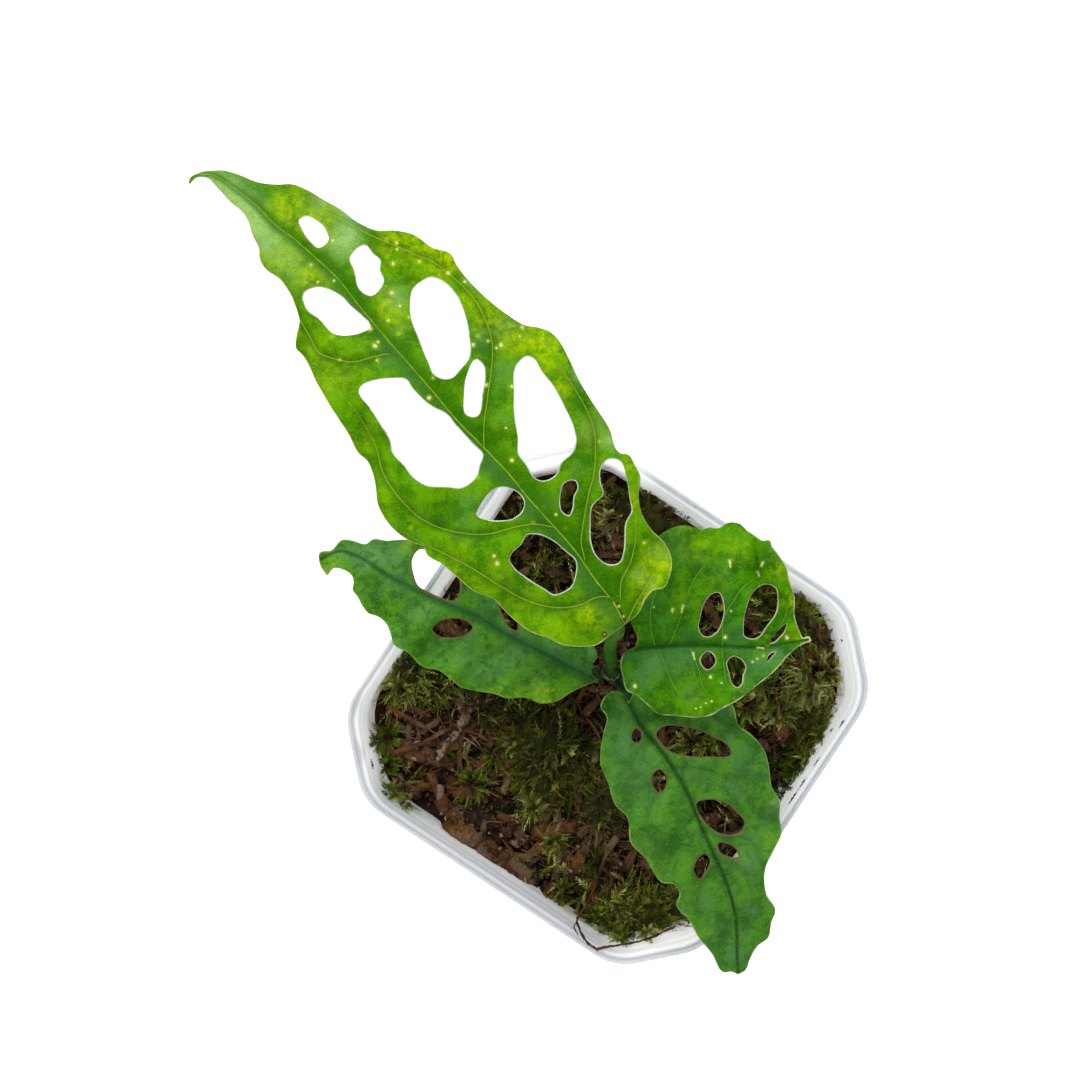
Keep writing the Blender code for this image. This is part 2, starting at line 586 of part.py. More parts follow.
def long_leaf():
    """The long leaf, highest and nearest the eye: an arched blade with eleven holes and a twisted right margin."""
    left = (
        (625, 624), (610, 635), (595, 645), (582, 646), (562, 644), (547, 637), (532, 632), (519, 623), (502, 607),
        (497, 601), (473, 590), (460, 579), (443, 564), (427, 554), (423, 545), (419, 544), (401, 535), (384, 516),
        (378, 503), (376, 486), (373, 473), (367, 460), (360, 454), (349, 434), (332, 408), (319, 386), (302, 354),
        (297, 349), (297, 336), (300, 321), (297, 309), (289, 291), (278, 277), (266, 269), (260, 258), (259, 248),
        (253, 235), (248, 220), (240, 209), (232, 203), (219, 189), (206, 177), (197, 177), (189, 184),
    )
    right = (
        (189, 184), (190, 179), (200, 173), (213, 171), (224, 171), (238, 175), (259, 183), (275, 185), (293, 185),
        (306, 190), (323, 200), (339, 209), (358, 223), (377, 231), (394, 231), (413, 235), (432, 248), (451, 255),
        (456, 265), (465, 277), (477, 290), (490, 302), (507, 315), (526, 326), (538, 328), (551, 333), (560, 343),
        (568, 358), (580, 383), (593, 404), (608, 427), (621, 454), (628, 455), (634, 465), (640, 478), (639, 486),
        (638, 494), (640, 510), (651, 530), (664, 543), (671, 558), (669, 577), (664, 587), (653, 590), (645, 599),
        (639, 612), (625, 624),
    )
    holes = (
        ((299, 220), (306, 216), (316, 220), (326, 230), (329, 240), (318, 248), (310, 241), (303, 231)),
        ((350, 258), (354, 251), (365, 245), (374, 254), (381, 261), (380, 269), (384, 281), (370, 296), (360, 290),
         (354, 270)),
        ((304, 293), (309, 289), (317, 287), (340, 295), (352, 307), (370, 328), (358, 334), (334, 334), (318, 318),
         (309, 312)),
        ((410, 299), (412, 290), (420, 282), (431, 277), (441, 280), (455, 293), (465, 314), (469, 333), (469, 358),
         (460, 370), (452, 378), (444, 379), (436, 376), (427, 360), (418, 337), (411, 318)),
        ((477, 359), (483, 364), (485, 375), (483, 391), (475, 417), (468, 416), (464, 391), (466, 377)),
        ((518, 363), (528, 356), (533, 358), (543, 373), (554, 387), (564, 406), (573, 425), (576, 440), (574, 450),
         (561, 464), (557, 474), (551, 479), (540, 481), (534, 478), (527, 466), (518, 453), (518, 438), (515, 421),
         (514, 396)),
        ((359, 389), (362, 385), (374, 380), (393, 378), (406, 379), (412, 387), (429, 404), (448, 415), (456, 425),
         (471, 442), (483, 456), (480, 465), (477, 476), (469, 484), (461, 488), (448, 487), (425, 485), (414, 478),
         (404, 465), (393, 453), (390, 440), (380, 423), (370, 408)),
        ((476, 514), (479, 508), (491, 491), (499, 487), (510, 488), (521, 495), (525, 503), (522, 512), (513, 519),
         (501, 521), (488, 520)),
        ((563, 484), (570, 480), (576, 481), (578, 487), (574, 497), (573, 508), (569, 516), (563, 513), (560, 494)),
        ((509, 559), (513, 551), (521, 544), (526, 535), (537, 534), (551, 539), (566, 551), (576, 561), (576, 575),
         (572, 586), (562, 593), (555, 595), (544, 589), (525, 577), (514, 568)),
        ((619, 460), (627, 478), (630, 497), (632, 511), (626, 523), (625, 538), (624, 551), (619, 563), (610, 565),
         (604, 563), (595, 554), (591, 543), (590, 525), (592, 506), (603, 493), (600, 482), (601, 467), (608, 459)),
    )
    midrib = (
        (625, 624), (614, 603), (597, 582), (575, 551), (553, 525), (526, 495), (509, 474), (484, 448), (455, 418),
        (434, 393), (411, 366), (381, 332), (360, 307), (339, 280), (318, 260), (297, 241), (276, 225), (255, 204),
        (234, 188), (213, 175), (200, 174),
    )
    return Leaf(
        "leaf_long", (left, right), holes, midrib,
        ridge=(130.5, 135, 138, 139, 137.5, 134, 128), fold=(0.24, 0.12), tilt=-0.03, droop=1.3, ripple=(0.55, 5.5),
        swells=((643, 480, 15, 4.0), (664, 560, 20, -3.0), (189, 182, 14, -4.0), (455, 258, 22, 1.6),
                (280, 285, 20, 1.4), (400, 540, 26, -1.2), (590, 645, 24, -1.5), (548, 332, 22, 1.0)),
        stalk=((611, 660, 99), (610, 647, 109), (613, 637, 120), (619, 629, 127.5)),
    )


def left_leaf():
    """The lowest leaf: dark and narrow, one long hole under its upper margin and a small round one."""
    lower = (
        (598, 680), (588, 684), (571, 692), (556, 701), (541, 703), (525, 697), (508, 698), (493, 693), (480, 691),
        (460, 686), (450, 678), (439, 670), (424, 667), (408, 652), (394, 644), (391, 634), (387, 624), (378, 616),
        (369, 613), (363, 606), (357, 595), (353, 590), (354, 583), (353, 577), (343, 569), (333, 568), (327, 575),
    )
    upper = (
        (327, 575), (321, 566), (320, 553), (331, 551), (343, 540), (352, 541), (367, 544), (372, 540), (387, 541),
        (402, 540), (420, 541), (441, 546), (463, 557), (486, 571), (512, 588), (541, 605), (568, 622), (586, 636),
        (594, 647), (597, 656), (592, 665), (592, 675), (598, 680),
    )
    holes = (
        ((419, 549), (412, 558), (413, 574), (418, 586), (430, 593), (447, 600), (455, 601), (460, 592), (459, 577),
         (449, 563), (434, 553)),
        ((432, 630), (440, 621), (453, 618), (467, 621), (473, 627), (466, 635), (452, 638), (438, 636)),
        ((499, 603), (503, 616), (510, 628), (517, 631), (518, 621), (511, 608)),
    )
    midrib = (
        (598, 680), (571, 667), (538, 650), (506, 634), (478, 617), (452, 606), (419, 591), (387, 575), (361, 558),
        (339, 551), (326, 556),
    )
    return Leaf(
        "leaf_left", (lower, upper), holes, midrib,
        ridge=(96.5, 99.5, 101.5, 102, 101, 98.5, 95), fold=(0.3, 0.22), tilt=0.06, droop=1.6, ripple=(0.9, 5.0),
        swells=((322, 563, 14, -4.0), (480, 690, 24, -1.0), (395, 642, 14, 0.8)),
        stalk=((596, 676, 89), (597, 680, 93.5)),
    )


def right_leaf():
    """The broad oval leaf: six holes, halves that fold up towards the tip and a small curled tip."""
    lower = (
        (634, 650), (624, 654), (621, 662), (623, 676), (628, 691), (635, 694), (646, 703), (660, 714), (673, 715),
        (683, 716), (696, 717), (713, 714), (721, 709), (739, 699), (754, 687), (776, 669), (789, 654), (802, 644),
        (811, 641),
    )
    upper = (
        (811, 641), (809, 637), (803, 638), (799, 631), (794, 616), (794, 596), (789, 580), (786, 568), (779, 556),
        (771, 545), (770, 541), (762, 541), (756, 537), (747, 531), (739, 524), (729, 523), (718, 529), (709, 528),
        (703, 530), (694, 528), (686, 526), (671, 529), (661, 535), (647, 549), (636, 567), (629, 588), (628, 606),
        (632, 624), (638, 638), (634, 650),
    )
    holes = (
        ((718, 592), (724, 606), (723, 619), (716, 633), (709, 637), (703, 636), (699, 631), (700, 616), (704, 603),
         (711, 594)),
        ((769, 584), (776, 588), (778, 598), (776, 613), (767, 626), (757, 638), (751, 639), (744, 636), (743, 628),
         (746, 608), (752, 593), (761, 585)),
        ((787, 623), (785, 631), (779, 638), (773, 643), (769, 643), (770, 639), (779, 629)),
        ((707, 651), (713, 654), (716, 661), (713, 667), (707, 670), (703, 667), (700, 661), (703, 654)),
        ((733, 656), (741, 659), (746, 667), (743, 676), (742, 684), (737, 688), (732, 684), (729, 674), (727, 661)),
        ((776, 652), (772, 657), (767, 662), (767, 657), (771, 653)),
    )
    midrib = ((634, 650), (650, 648), (680, 646), (713, 646), (746, 648), (771, 647), (790, 643), (811, 639))
    return Leaf(
        "leaf_right", (lower, upper), holes, midrib,
        ridge=(115.5, 116.5, 117, 116.5, 115, 112.5, 111), fold=(0.16, 0.62), tilt=0.05, droop=2.0,
        ripple=(0.5, 3.5), swells=((775, 545, 14, 1.6), (625, 670, 16, -1.2), (811, 639, 8, 1.6), (640, 560, 26, -2.0)),
        stalk=((625.5, 671, 93), (628.5, 662, 102), (631, 653, 111)),
    )


def front_leaf():
    """The glossy front leaf: six rimmed holes and a blunt tip that hangs over the pot's lip."""
    outer = (
        (629, 703), (625, 697), (616, 691), (607, 695), (601, 708), (607, 716), (604, 733), (601, 751), (601, 764),
        (608, 781), (616, 805), (627, 816), (632, 844), (645, 857), (653, 870), (662, 882), (675, 884), (680, 892),
        (677, 905), (688, 918), (699, 937), (712, 953), (725, 972), (731, 971), (738, 974),
    )
    inner = (
        (738, 974), (745, 970), (749, 960), (757, 946), (768, 937), (771, 922), (775, 911), (766, 894), (765, 868),
        (774, 849), (781, 833), (779, 818), (779, 801), (771, 786), (769, 771), (764, 751), (751, 735), (738, 725),
        (733, 707), (718, 692), (697, 682), (672, 678), (648, 682), (635, 691), (629, 703),
    )
    holes = (
        ((656, 734), (662, 727), (677, 725), (694, 728), (712, 736), (729, 747), (731, 753), (707, 757), (686, 756),
         (671, 752), (661, 743)),
        ((636, 728), (641, 732), (641, 740), (637, 743), (632, 740), (632, 733)),
        ((659, 769), (666, 775), (666, 786), (660, 793), (653, 787), (652, 776)),
        ((696, 803), (710, 799), (725, 802), (738, 813), (745, 823), (741, 831), (721, 834), (712, 829), (701, 817)),
        ((718, 843), (727, 843), (737, 850), (739, 857), (729, 857), (719, 851)),
        ((705, 853), (710, 859), (707, 870), (699, 879), (694, 874), (696, 861)),
    )
    midrib = (
        (629, 703), (634, 712), (642, 727), (658, 747), (673, 768), (690, 799), (703, 831), (716, 859), (729, 890),
        (736, 920), (737, 953), (738, 972),
    )
    return Leaf(
        "leaf_front", (outer, inner), holes, midrib,
        ridge=(101.5, 105, 106.5, 106, 104, 101, 97), fold=(0.2, 0.25), tilt=0.04, droop=2.2, ripple=(0.8, 4.5),
        swells=((612, 700, 14, -1.4), (680, 890, 16, 0.8), (771, 900, 16, -1.0), (690, 684, 22, -2.5)),
        stalk=((624, 692, 90.5), (628, 700, 96.5)),
    )


def make_all_leaves():
    """Four leaves, their stalks set round the stem; the long leaf's stalk goes on where the stem ends."""
    stem_top = seen(*STEM_TOP)
    rise = stem_top - seen(*STEM_FOOT)
    rise /= np.linalg.norm(rise)
    make_leaf(
        long_leaf(), (stem_top + rise * GAP, stem_top + rise * 3 * MM), (1.5 * MM, 1.25 * MM), 6.6, 12.5,
        material("leaf_yellow_green", (0.10, 0.30, 0.015), 0.42),
    )
    make_leaf(
        left_leaf(), clasp(83.8, 183), (1.0 * MM, 0.85 * MM), 7.5, 14,
        material("leaf_blue_green", (0.03, 0.16, 0.05), 0.40),
    )
    make_leaf(
        right_leaf(), clasp(87.0, 4), (1.05 * MM, 0.9 * MM), 7.0, 13,
        material("leaf_bright_green", (0.05, 0.24, 0.02), 0.40),
    )
    make_leaf(
        front_leaf(), clasp(85.4, -58), (1.05 * MM, 0.9 * MM), 7.5, 14,
        material("leaf_dark_green", (0.03, 0.18, 0.04), 0.32),
    )


def main():
    for old in list(bpy.data.objects):
        bpy.data.objects.remove(old)
    make_pot()
    make_substrate()
    make_all_moss()
    make_stem(material("stem", (0.07, 0.13, 0.04), 0.6))
    make_all_leaves()


main()
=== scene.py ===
# %% [markdown]
# # A potted Monstera obliqua, seen from above
# Four holed leaves stand on a short stem in a square white pot of bark, coir and moss.
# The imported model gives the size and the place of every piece. This lesson gives each of them its fine surface:
# the leaf blades with their veins and pale rims, the moulded pot, the bark, the fibres and the moss.
# A shape here is always a formula worked out over a whole numpy array at once, then handed to Blender in one call.

# %% Load the fixed frame
import math

import bpy
import numpy as np
from mathutils.geometry import delaunay_2d_cdt
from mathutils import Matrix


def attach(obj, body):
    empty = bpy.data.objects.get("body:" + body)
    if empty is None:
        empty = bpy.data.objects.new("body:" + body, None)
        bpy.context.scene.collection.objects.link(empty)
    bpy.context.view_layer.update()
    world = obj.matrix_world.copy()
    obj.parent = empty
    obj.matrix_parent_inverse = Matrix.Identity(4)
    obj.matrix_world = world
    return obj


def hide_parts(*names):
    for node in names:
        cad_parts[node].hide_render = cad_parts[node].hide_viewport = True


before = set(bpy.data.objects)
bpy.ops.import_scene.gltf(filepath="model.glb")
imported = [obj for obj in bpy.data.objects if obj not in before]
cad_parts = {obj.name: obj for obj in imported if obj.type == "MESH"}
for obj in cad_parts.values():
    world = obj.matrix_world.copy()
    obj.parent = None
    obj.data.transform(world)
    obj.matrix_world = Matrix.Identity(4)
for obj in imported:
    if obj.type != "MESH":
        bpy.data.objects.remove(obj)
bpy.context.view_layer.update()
MM = 0.001
print("nodes:", sorted(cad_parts))

# %% [markdown]
# ## Where the eye is
# The photograph looks straight down, so a pixel and a height together name one place. The eye hangs 540 mm over the
# table, and the pot's sides lie along X and Y, which turns the picture by 33.5 degrees. Everything that was read off
# the photograph goes through `seen`: a leaf, a chip of bark, a speck on the rim. A side view then still shows each of
# them at its right height, because the height is never guessed from the picture alone.

# %% From a pixel and a height to a place
EYE_HEIGHT = 540 * MM
FRAME_PIXELS = 1080
FRAME_MIDDLE = np.array((540.0, 540.0))
POT_MIDDLE_PIXEL = np.array((608.0, 704.0))
POT_ACROSS = 100 * MM
POT_ACROSS_PIXELS = 434
POT_HEIGHT = 90 * MM
PIXEL_SLOPE = POT_ACROSS / POT_ACROSS_PIXELS / (EYE_HEIGHT - POT_HEIGHT)
VIEW_TURN = math.radians(33.5)
POT_OFFSET = (POT_MIDDLE_PIXEL - FRAME_MIDDLE) * PIXEL_SLOPE * (EYE_HEIGHT - POT_HEIGHT)


def turned(right, up):
    """The picture's right and up as X and Y: a turn by VIEW_TURN, counterclockwise seen from above."""
    cos, sin = math.cos(VIEW_TURN), math.sin(VIEW_TURN)
    return right * cos - up * sin, right * sin + up * cos


def seen(u, v, height):
    """The place at pixel (u, v) and this height: the pixel's offset * slope * depth, less the pot's own, turned."""
    u, v, height = np.broadcast_arrays(np.asarray(u, float), np.asarray(v, float), np.asarray(height, float))
    depth = EYE_HEIGHT - height
    right = (u - FRAME_MIDDLE[0]) * PIXEL_SLOPE * depth - POT_OFFSET[0]
    up = POT_OFFSET[1] - (v - FRAME_MIDDLE[1]) * PIXEL_SLOPE * depth
    return np.stack((*turned(right, up), height), axis=-1)


camera_data = bpy.data.cameras.new("straight_down")
camera_data.sensor_width = 36
camera_data.angle = 2 * math.atan(FRAME_PIXELS / 2 * PIXEL_SLOPE)
camera_data.clip_start = 0.01
camera = bpy.data.objects.new("straight_down", camera_data)
camera.location = (*turned(-POT_OFFSET[0], POT_OFFSET[1]), EYE_HEIGHT)
camera.rotation_euler = (0, 0, VIEW_TURN)
bpy.context.scene.collection.objects.link(camera)
bpy.context.scene.camera = camera
print(f"camera at {[round(c, 4) for c in camera.location]}, {math.degrees(camera_data.angle):.2f} degrees wide")

# %% [markdown]
# ## Light and floor
# Plant pictures like this one are lit by a bright overcast sky: one broad soft light, nearly no hard shadow, and a
# cool gleam on the waxy leaves. Here a large soft lamp does that from the upper left of the picture, a second, bluish
# one from the upper right puts the gleam on the leaves, and a pale world fills the shadows. The floor is one pale
# sheet and belongs to the stage, not to the plant.

# %% Lamps, world and floor
scene = bpy.context.scene
scene.view_settings.view_transform = "Standard"
scene.view_settings.look = "None"
world = bpy.data.worlds.new("pale_room")
world.use_nodes = True
background = world.node_tree.nodes["Background"].inputs
background["Color"].default_value = (0.93, 0.96, 1.0, 1)
background["Strength"].default_value = 0.40
scene.world = world
# Name, place to the picture's right, up and over the table in millimetres, size in metres, power in watts, colour
LAMPS = (
    ("sky_lamp", (-420, 480, 800), 0.60, 4.5, (1.0, 0.99, 0.96)),
    ("cool_lamp", (520, 300, 620), 0.5, 1.7, (0.80, 0.90, 1.0)),
    ("fill_lamp", (-100, -700, 500), 0.6, 1.2, (1.0, 0.98, 0.95)),
)
AIM = np.array((0, 0, 0.1))
for name, (right, up, height), size, power, colour in LAMPS:
    lamp_data = bpy.data.lights.new(name, "AREA")
    lamp_data.shape = "DISK"
    lamp_data.size = size
    lamp_data.energy = power
    lamp_data.color = colour
    lamp = bpy.data.objects.new(name, lamp_data)
    place = np.array((*turned(right * MM, up * MM), height * MM))
    lamp.location = place
    away = place - AIM
    lamp.rotation_euler = (math.acos(away[2] / np.linalg.norm(away)), 0, math.atan2(away[1], away[0]) + math.pi / 2)
    scene.collection.objects.link(lamp)

FLOOR_HALF = 3.0
FLOOR_LEVEL = -0.1 * MM
corners = [(x * FLOOR_HALF, y * FLOOR_HALF, FLOOR_LEVEL) for x, y in ((-1, -1), (1, -1), (1, 1), (-1, 1))]
floor_mesh = bpy.data.meshes.new("floor")
floor_mesh.from_pydata(corners, [], [(0, 1, 2, 3)])
floor = bpy.data.objects.new("floor", floor_mesh)
floor_paint = bpy.data.materials.new("pale_floor")
floor_paint.use_nodes = True
floor_finish = floor_paint.node_tree.nodes["Principled BSDF"].inputs
floor_finish["Base Color"].default_value = (0.92, 0.92, 0.92, 1)
floor_finish["Roughness"].default_value = 0.9
floor_finish["Emission Color"].default_value = (1, 1, 1, 1)
floor_finish["Emission Strength"].default_value = 0.75
floor_mesh.materials.append(floor_paint)
scene.collection.objects.link(floor)
print("lamps:", [lamp[0] for lamp in LAMPS])

# %% [markdown]
# ## Tools for shapes
# A row of points gives a leaf's edge, a vein or a root. `smooth_run` draws one smooth curve through it.
# `waves` is a soft seeded unevenness that any surface may add to itself: a few sine waves in random directions, which
# need no image and look the same on each run. `closed_rings` joins rings of points to closed shapes, many at once, and
# `add_piece` puts arrays of points and faces into a new mesh, because `foreach_set` takes a whole array in one call
# where a loop over vertices would take minutes. It also says that the piece moves with the pot and which imported
# solid it stands for.

# %% Smooth curves
CURVE_STEPS = 12


def unit(vectors, least=1e-12):
    """Vectors divided by their own lengths, or by `least` where they are shorter than that."""
    return vectors / np.maximum(np.linalg.norm(vectors, axis=-1, keepdims=True), least)


def travelled(points):
    """How far along a row of points each of them lies."""
    return np.concatenate(([0], np.cumsum(np.linalg.norm(np.diff(points, axis=0), axis=1))))


def smooth_run(points, step, closed=False):
    """Points about one step apart along a smooth curve through the given ones.

    Each stretch is a cubic Hermite: start * (1 + 2t)(1 - t)^2 + end * t^2 (3 - 2t) + the two slopes' terms. A slope is
    the mean of the chords before and after, each weighted by the other's length.
    """
    points = np.asarray(points, float)
    if closed:
        points = np.concatenate((points[-2:], points, points[:3]))
    chords = np.diff(points, axis=0)
    lengths = np.linalg.norm(chords, axis=1)[:, None]
    rates = chords / lengths
    slopes = np.concatenate((rates[:1], rates, rates[-1:]))
    weights = np.concatenate((lengths[:1], lengths, lengths[-1:]))
    slopes = (slopes[:-1] * weights[1:] + slopes[1:] * weights[:-1]) / (weights[:-1] + weights[1:])
    t = np.linspace(0, 1, CURVE_STEPS, endpoint=False)[:, None, None]
    curve = (
        points[:-1] * (1 + 2 * t) * (1 - t) ** 2
        + points[1:] * t * t * (3 - 2 * t)
        + slopes[:-1] * lengths * t * (1 - t) ** 2
        - slopes[1:] * lengths * t * t * (1 - t)
    )
    curve = curve.transpose(1, 0, 2).reshape(-1, points.shape[1])
    spare = 2 * CURVE_STEPS
    curve = curve[spare:-spare] if closed else np.concatenate((curve, points[-1:]))
    far = travelled(curve)
    stops = np.linspace(0, far[-1], max(3, round(far[-1] / step)) + 1)
    stops = stops[:-1] if closed else stops
    return np.stack([np.interp(stops, far, column) for column in curve.T], axis=1)


# %% Soft seeded unevenness
def waves(points, length, seed, count=7):
    """A smooth field between about -1 and 1: the mean of `count` sines of wavelengths near `length`, each along its
    own seeded direction and with its own phase, times the square root of count."""
    draw = np.random.default_rng(seed)
    directions = unit(draw.normal(size=(count, points.shape[-1])))
    rates = math.tau / (length * draw.uniform(0.7, 1.5, count))
    phases = draw.uniform(0, math.tau, count)
    return np.sin(points @ (directions * rates[:, None]).T + phases).sum(axis=-1) / math.sqrt(count)


def wobble(points, depth, length, seed):
    """Moves of up to about depth along X, Y and Z, each by its own waves, seeded from `seed` on."""
    return depth * np.stack([waves(points, length, seed + axis) for axis in range(3)], axis=1)


# %% Arrays into a mesh
def add_piece(name, points, face_groups, paint, attributes=None, node=None, uv=None, smooth=True):
    """A mesh object at the origin from points (n, 3) and groups of faces, each an array of vertex numbers (m, k).

    attributes: name to one value (n,) or one vector (n, 3) for each point; uv: (n, 2) for each point
    """
    mesh = bpy.data.meshes.new(name)
    groups = [np.asarray(group, np.int32) for group in face_groups if len(group)]
    corners = np.concatenate([group.ravel() for group in groups])
    totals = np.concatenate([np.full(len(group), group.shape[1], np.int32) for group in groups])
    starts = np.concatenate(([0], np.cumsum(totals)[:-1])).astype(np.int32)
    mesh.vertices.add(len(points))
    mesh.vertices.foreach_set("co", np.asarray(points, np.float32).ravel())
    mesh.loops.add(len(corners))
    mesh.loops.foreach_set("vertex_index", corners)
    mesh.polygons.add(len(totals))
    mesh.polygons.foreach_set("loop_start", starts)
    mesh.update(calc_edges=True)
    for key, values in (attributes or {}).items():
        values = np.asarray(values, np.float32)
        kind = "FLOAT" if values.ndim == 1 else "FLOAT_VECTOR"
        field = "value" if values.ndim == 1 else "vector"
        mesh.attributes.new(key, kind, "POINT").data.foreach_set(field, values.ravel())
    if uv is not None:
        layer = mesh.uv_layers.new(name="blade")
        layer.data.foreach_set("uv", np.asarray(uv, np.float32)[corners].ravel())
    mesh.validate()
    if smooth:
        mesh.shade_smooth()
    mesh.materials.append(paint)
    piece = bpy.data.objects.new(name, mesh)
    scene.collection.objects.link(piece)
    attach(piece, "root")
    if node:
        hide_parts(node)
    print(f"{name}: {(totals - 2).sum()} triangles")


# %% Faces of a grid, closed shapes from rings of points, and tubes
def grid_faces(rows, columns, around=True):
    """Quads between neighbouring rows of a grid of points; the last column joins the first if it goes around."""
    row, column = np.meshgrid(np.arange(rows - 1), np.arange(columns if around else columns - 1), indexing="ij")
    first = row * columns + column
    beside = row * columns + (column + 1) % columns
    return np.stack((first, beside, beside + columns, first + columns), axis=-1).reshape(-1, 4)


def closed_rings(rings, low, high):
    """Points and faces for many closed shapes at once: rings (shapes, rows, columns, 3), joined by quads, and each
    shape's two ends closed by fans on its points low and high (shapes, 3)."""
    count, rows, columns, _ = rings.shape
    points = np.concatenate((rings.reshape(count, -1, 3), low[:, None], high[:, None]), axis=1)
    size = rows * columns + 2
    around = np.arange(columns)
    after = (around + 1) % columns
    top = (rows - 1) * columns
    caps = np.concatenate((
        np.column_stack((np.full(columns, size - 2), after, around)),
        np.column_stack((np.full(columns, size - 1), top + around, top + after)),
    ))
    offsets = (np.arange(count) * size)[:, None, None]
    walls = (grid_faces(rows, columns) + offsets).reshape(-1, 4)
    return points.reshape(-1, 3), walls, (caps + offsets).reshape(-1, 3)


def tubes(paths, radii, sides, level=(0.0, 0.0, 1.0)):
    """Closed tubes along paths (tubes, steps, 3) with radii (tubes, steps).

    A ring's point is centre + radius * (cos a * side + sin a * over), with side = forward x level and
    over = side x forward. Each end closes in a fan on the path's own end point.
    """
    forward = unit(np.gradient(paths, axis=1))
    side = unit(np.cross(forward, np.broadcast_to(np.array(level), forward.shape)))
    over = np.cross(side, forward)
    angle = np.arange(sides) / sides * math.tau
    ring = np.cos(angle)[:, None] * side[:, :, None, :] + np.sin(angle)[:, None] * over[:, :, None, :]
    return closed_rings(paths[:, :, None, :] + radii[:, :, None, None] * ring, paths[:, 0], paths[:, -1])


# %% [markdown]
# ## Shader sums as Python sums
# A material node tree is a formula, and it reads best as one. `Signal` wraps the socket that a number or colour comes
# out of. Its operators add a Math node each, so `1 - mask * 0.5` builds two nodes. Every other kind of node comes from
# its one method `node`, which takes the node's type, its settings and what goes into its sockets.

# %% One class for shader maths
class Signal:
    """One output socket of a node tree, on which Python's operators build Math nodes."""

    def __init__(self, tree, socket=None):
        self.tree = tree
        self.socket = socket

    def node(self, kind, settings=None, values=None, output=0):
        """Adds a node of this kind, sets its settings, then its sockets, and gives one of its outputs."""
        made = self.tree.nodes.new(kind)
        for key, setting in (settings or {}).items():
            setattr(made, key, setting)
        for key, value in (values or {}).items():
            if isinstance(value, Signal):
                self.tree.links.new(value.socket, made.inputs[key])
            else:
                made.inputs[key].default_value = value
        return Signal(self.tree, made.outputs[output])

    def attribute(self, name, output="Vector"):
        """What each point of the mesh carries under this name."""
        return self.node("ShaderNodeAttribute", {"attribute_name": name}, output=output)

    def place(self):
        """The Object coordinates, which are metres in the pot's own frame."""
        return self.node("ShaderNodeTexCoord", output="Object")

    def maths(self, operation, first, second):
        return self.node("ShaderNodeMath", {"operation": operation}, {0: first, 1: second})

    def __add__(self, other):
        return self.maths("ADD", self, other)

    __radd__ = __add__

    def __mul__(self, other):
        return self.maths("MULTIPLY", self, other)

    __rmul__ = __mul__

    def __sub__(self, other):
        return self.maths("SUBTRACT", self, other)

    def __rsub__(self, other):
        return self.maths("SUBTRACT", other, self)

    def __truediv__(self, other):
        return self.maths("DIVIDE", self, other)

    def __pow__(self, other):
        return self.maths("POWER", self, other)

    def __abs__(self):
        return self.maths("ABSOLUTE", self, 0.0)

    def above(self, low, high):
        """0 below low, 1 above high, and a smooth step between; low may be the larger, which turns it round."""
        values = {0: self, 1: low, 2: high} if low <= high else {0: self, 1: high, 2: low, 3: 1.0, 4: 0.0}
        return self.node("ShaderNodeMapRange", {"interpolation_type": "SMOOTHSTEP"}, values)

    def least(self, other):
        return self.maths("MINIMUM", self, other)

    def most(self, other):
        return self.maths("MAXIMUM", self, other)

    def mixed(self, under, over):
        """The colour `under` where this signal is 0 and `over` where it is 1."""
        under = under if isinstance(under, Signal) else (*under, 1)
        over = over if isinstance(over, Signal) else (*over, 1)
        settings = {"data_type": "RGBA", "clamp_factor": True}
        return self.node("ShaderNodeMix", settings, {0: self, 6: under, 7: over}, output=2)

    def noise(self, scale, detail=2.0, roughness=0.5, stretch=(1, 1, 1)):
        """Noise between 0 and 1 over this vector, with `scale` features to the metre, stretched along its axes."""
        at = self
        if stretch != (1, 1, 1):
            at = self.node("ShaderNodeMapping", {}, {"Vector": self, "Scale": stretch})
        values = {"Vector": at, "Scale": scale, "Detail": detail, "Roughness": roughness}
        return at.node("ShaderNodeTexNoise", {}, values)

    def near_any(self, places, soft=0.5):
        """1 near any of the places (x, y, z, radius) and 0 away from them all, this vector being the position."""
        found = None
        for *centre, radius in places:
            gap = self.node("ShaderNodeVectorMath", {"operation": "DISTANCE"}, {0: self, 1: centre}, output="Value")
            spot = gap.above(radius, soft * radius)
            found = spot if found is None else found.most(spot)
        return found

    def shaken(self, amount, scale):
        """This vector moved by noise, up to about `amount` either way, so that what is drawn on it gets ragged."""
        values = {"Vector": self, "Scale": scale, "Detail": 2.0}
        moved = self.node("ShaderNodeTexNoise", {}, values, output="Color")
        centred = self.node("ShaderNodeVectorMath", {"operation": "SUBTRACT"}, {0: moved, 1: (0.5, 0.5, 0.5)})
        scaled = self.node("ShaderNodeVectorMath", {"operation": "SCALE"}, {0: centred, "Scale": 2 * amount})
        return self.node("ShaderNodeVectorMath", {"operation": "ADD"}, {0: self, 1: scaled})

    def parts(self):
        """The three numbers of this vector."""
        split = self.tree.nodes.new("ShaderNodeSeparateXYZ")
        self.tree.links.new(self.socket, split.inputs[0])
        return [Signal(self.tree, output) for output in split.outputs]


def tinted(colour, share):
    """A colour, darker where the share is under 1 and lighter where it is over 1."""
    return tuple(channel * share for channel in colour)


def coated(colour, *coats):
    """A colour with coats over it, first to last, each a mask and the colour that shows where the mask is 1."""
    for mask, over in coats:
        colour = mask.mixed(colour, over)
    return colour


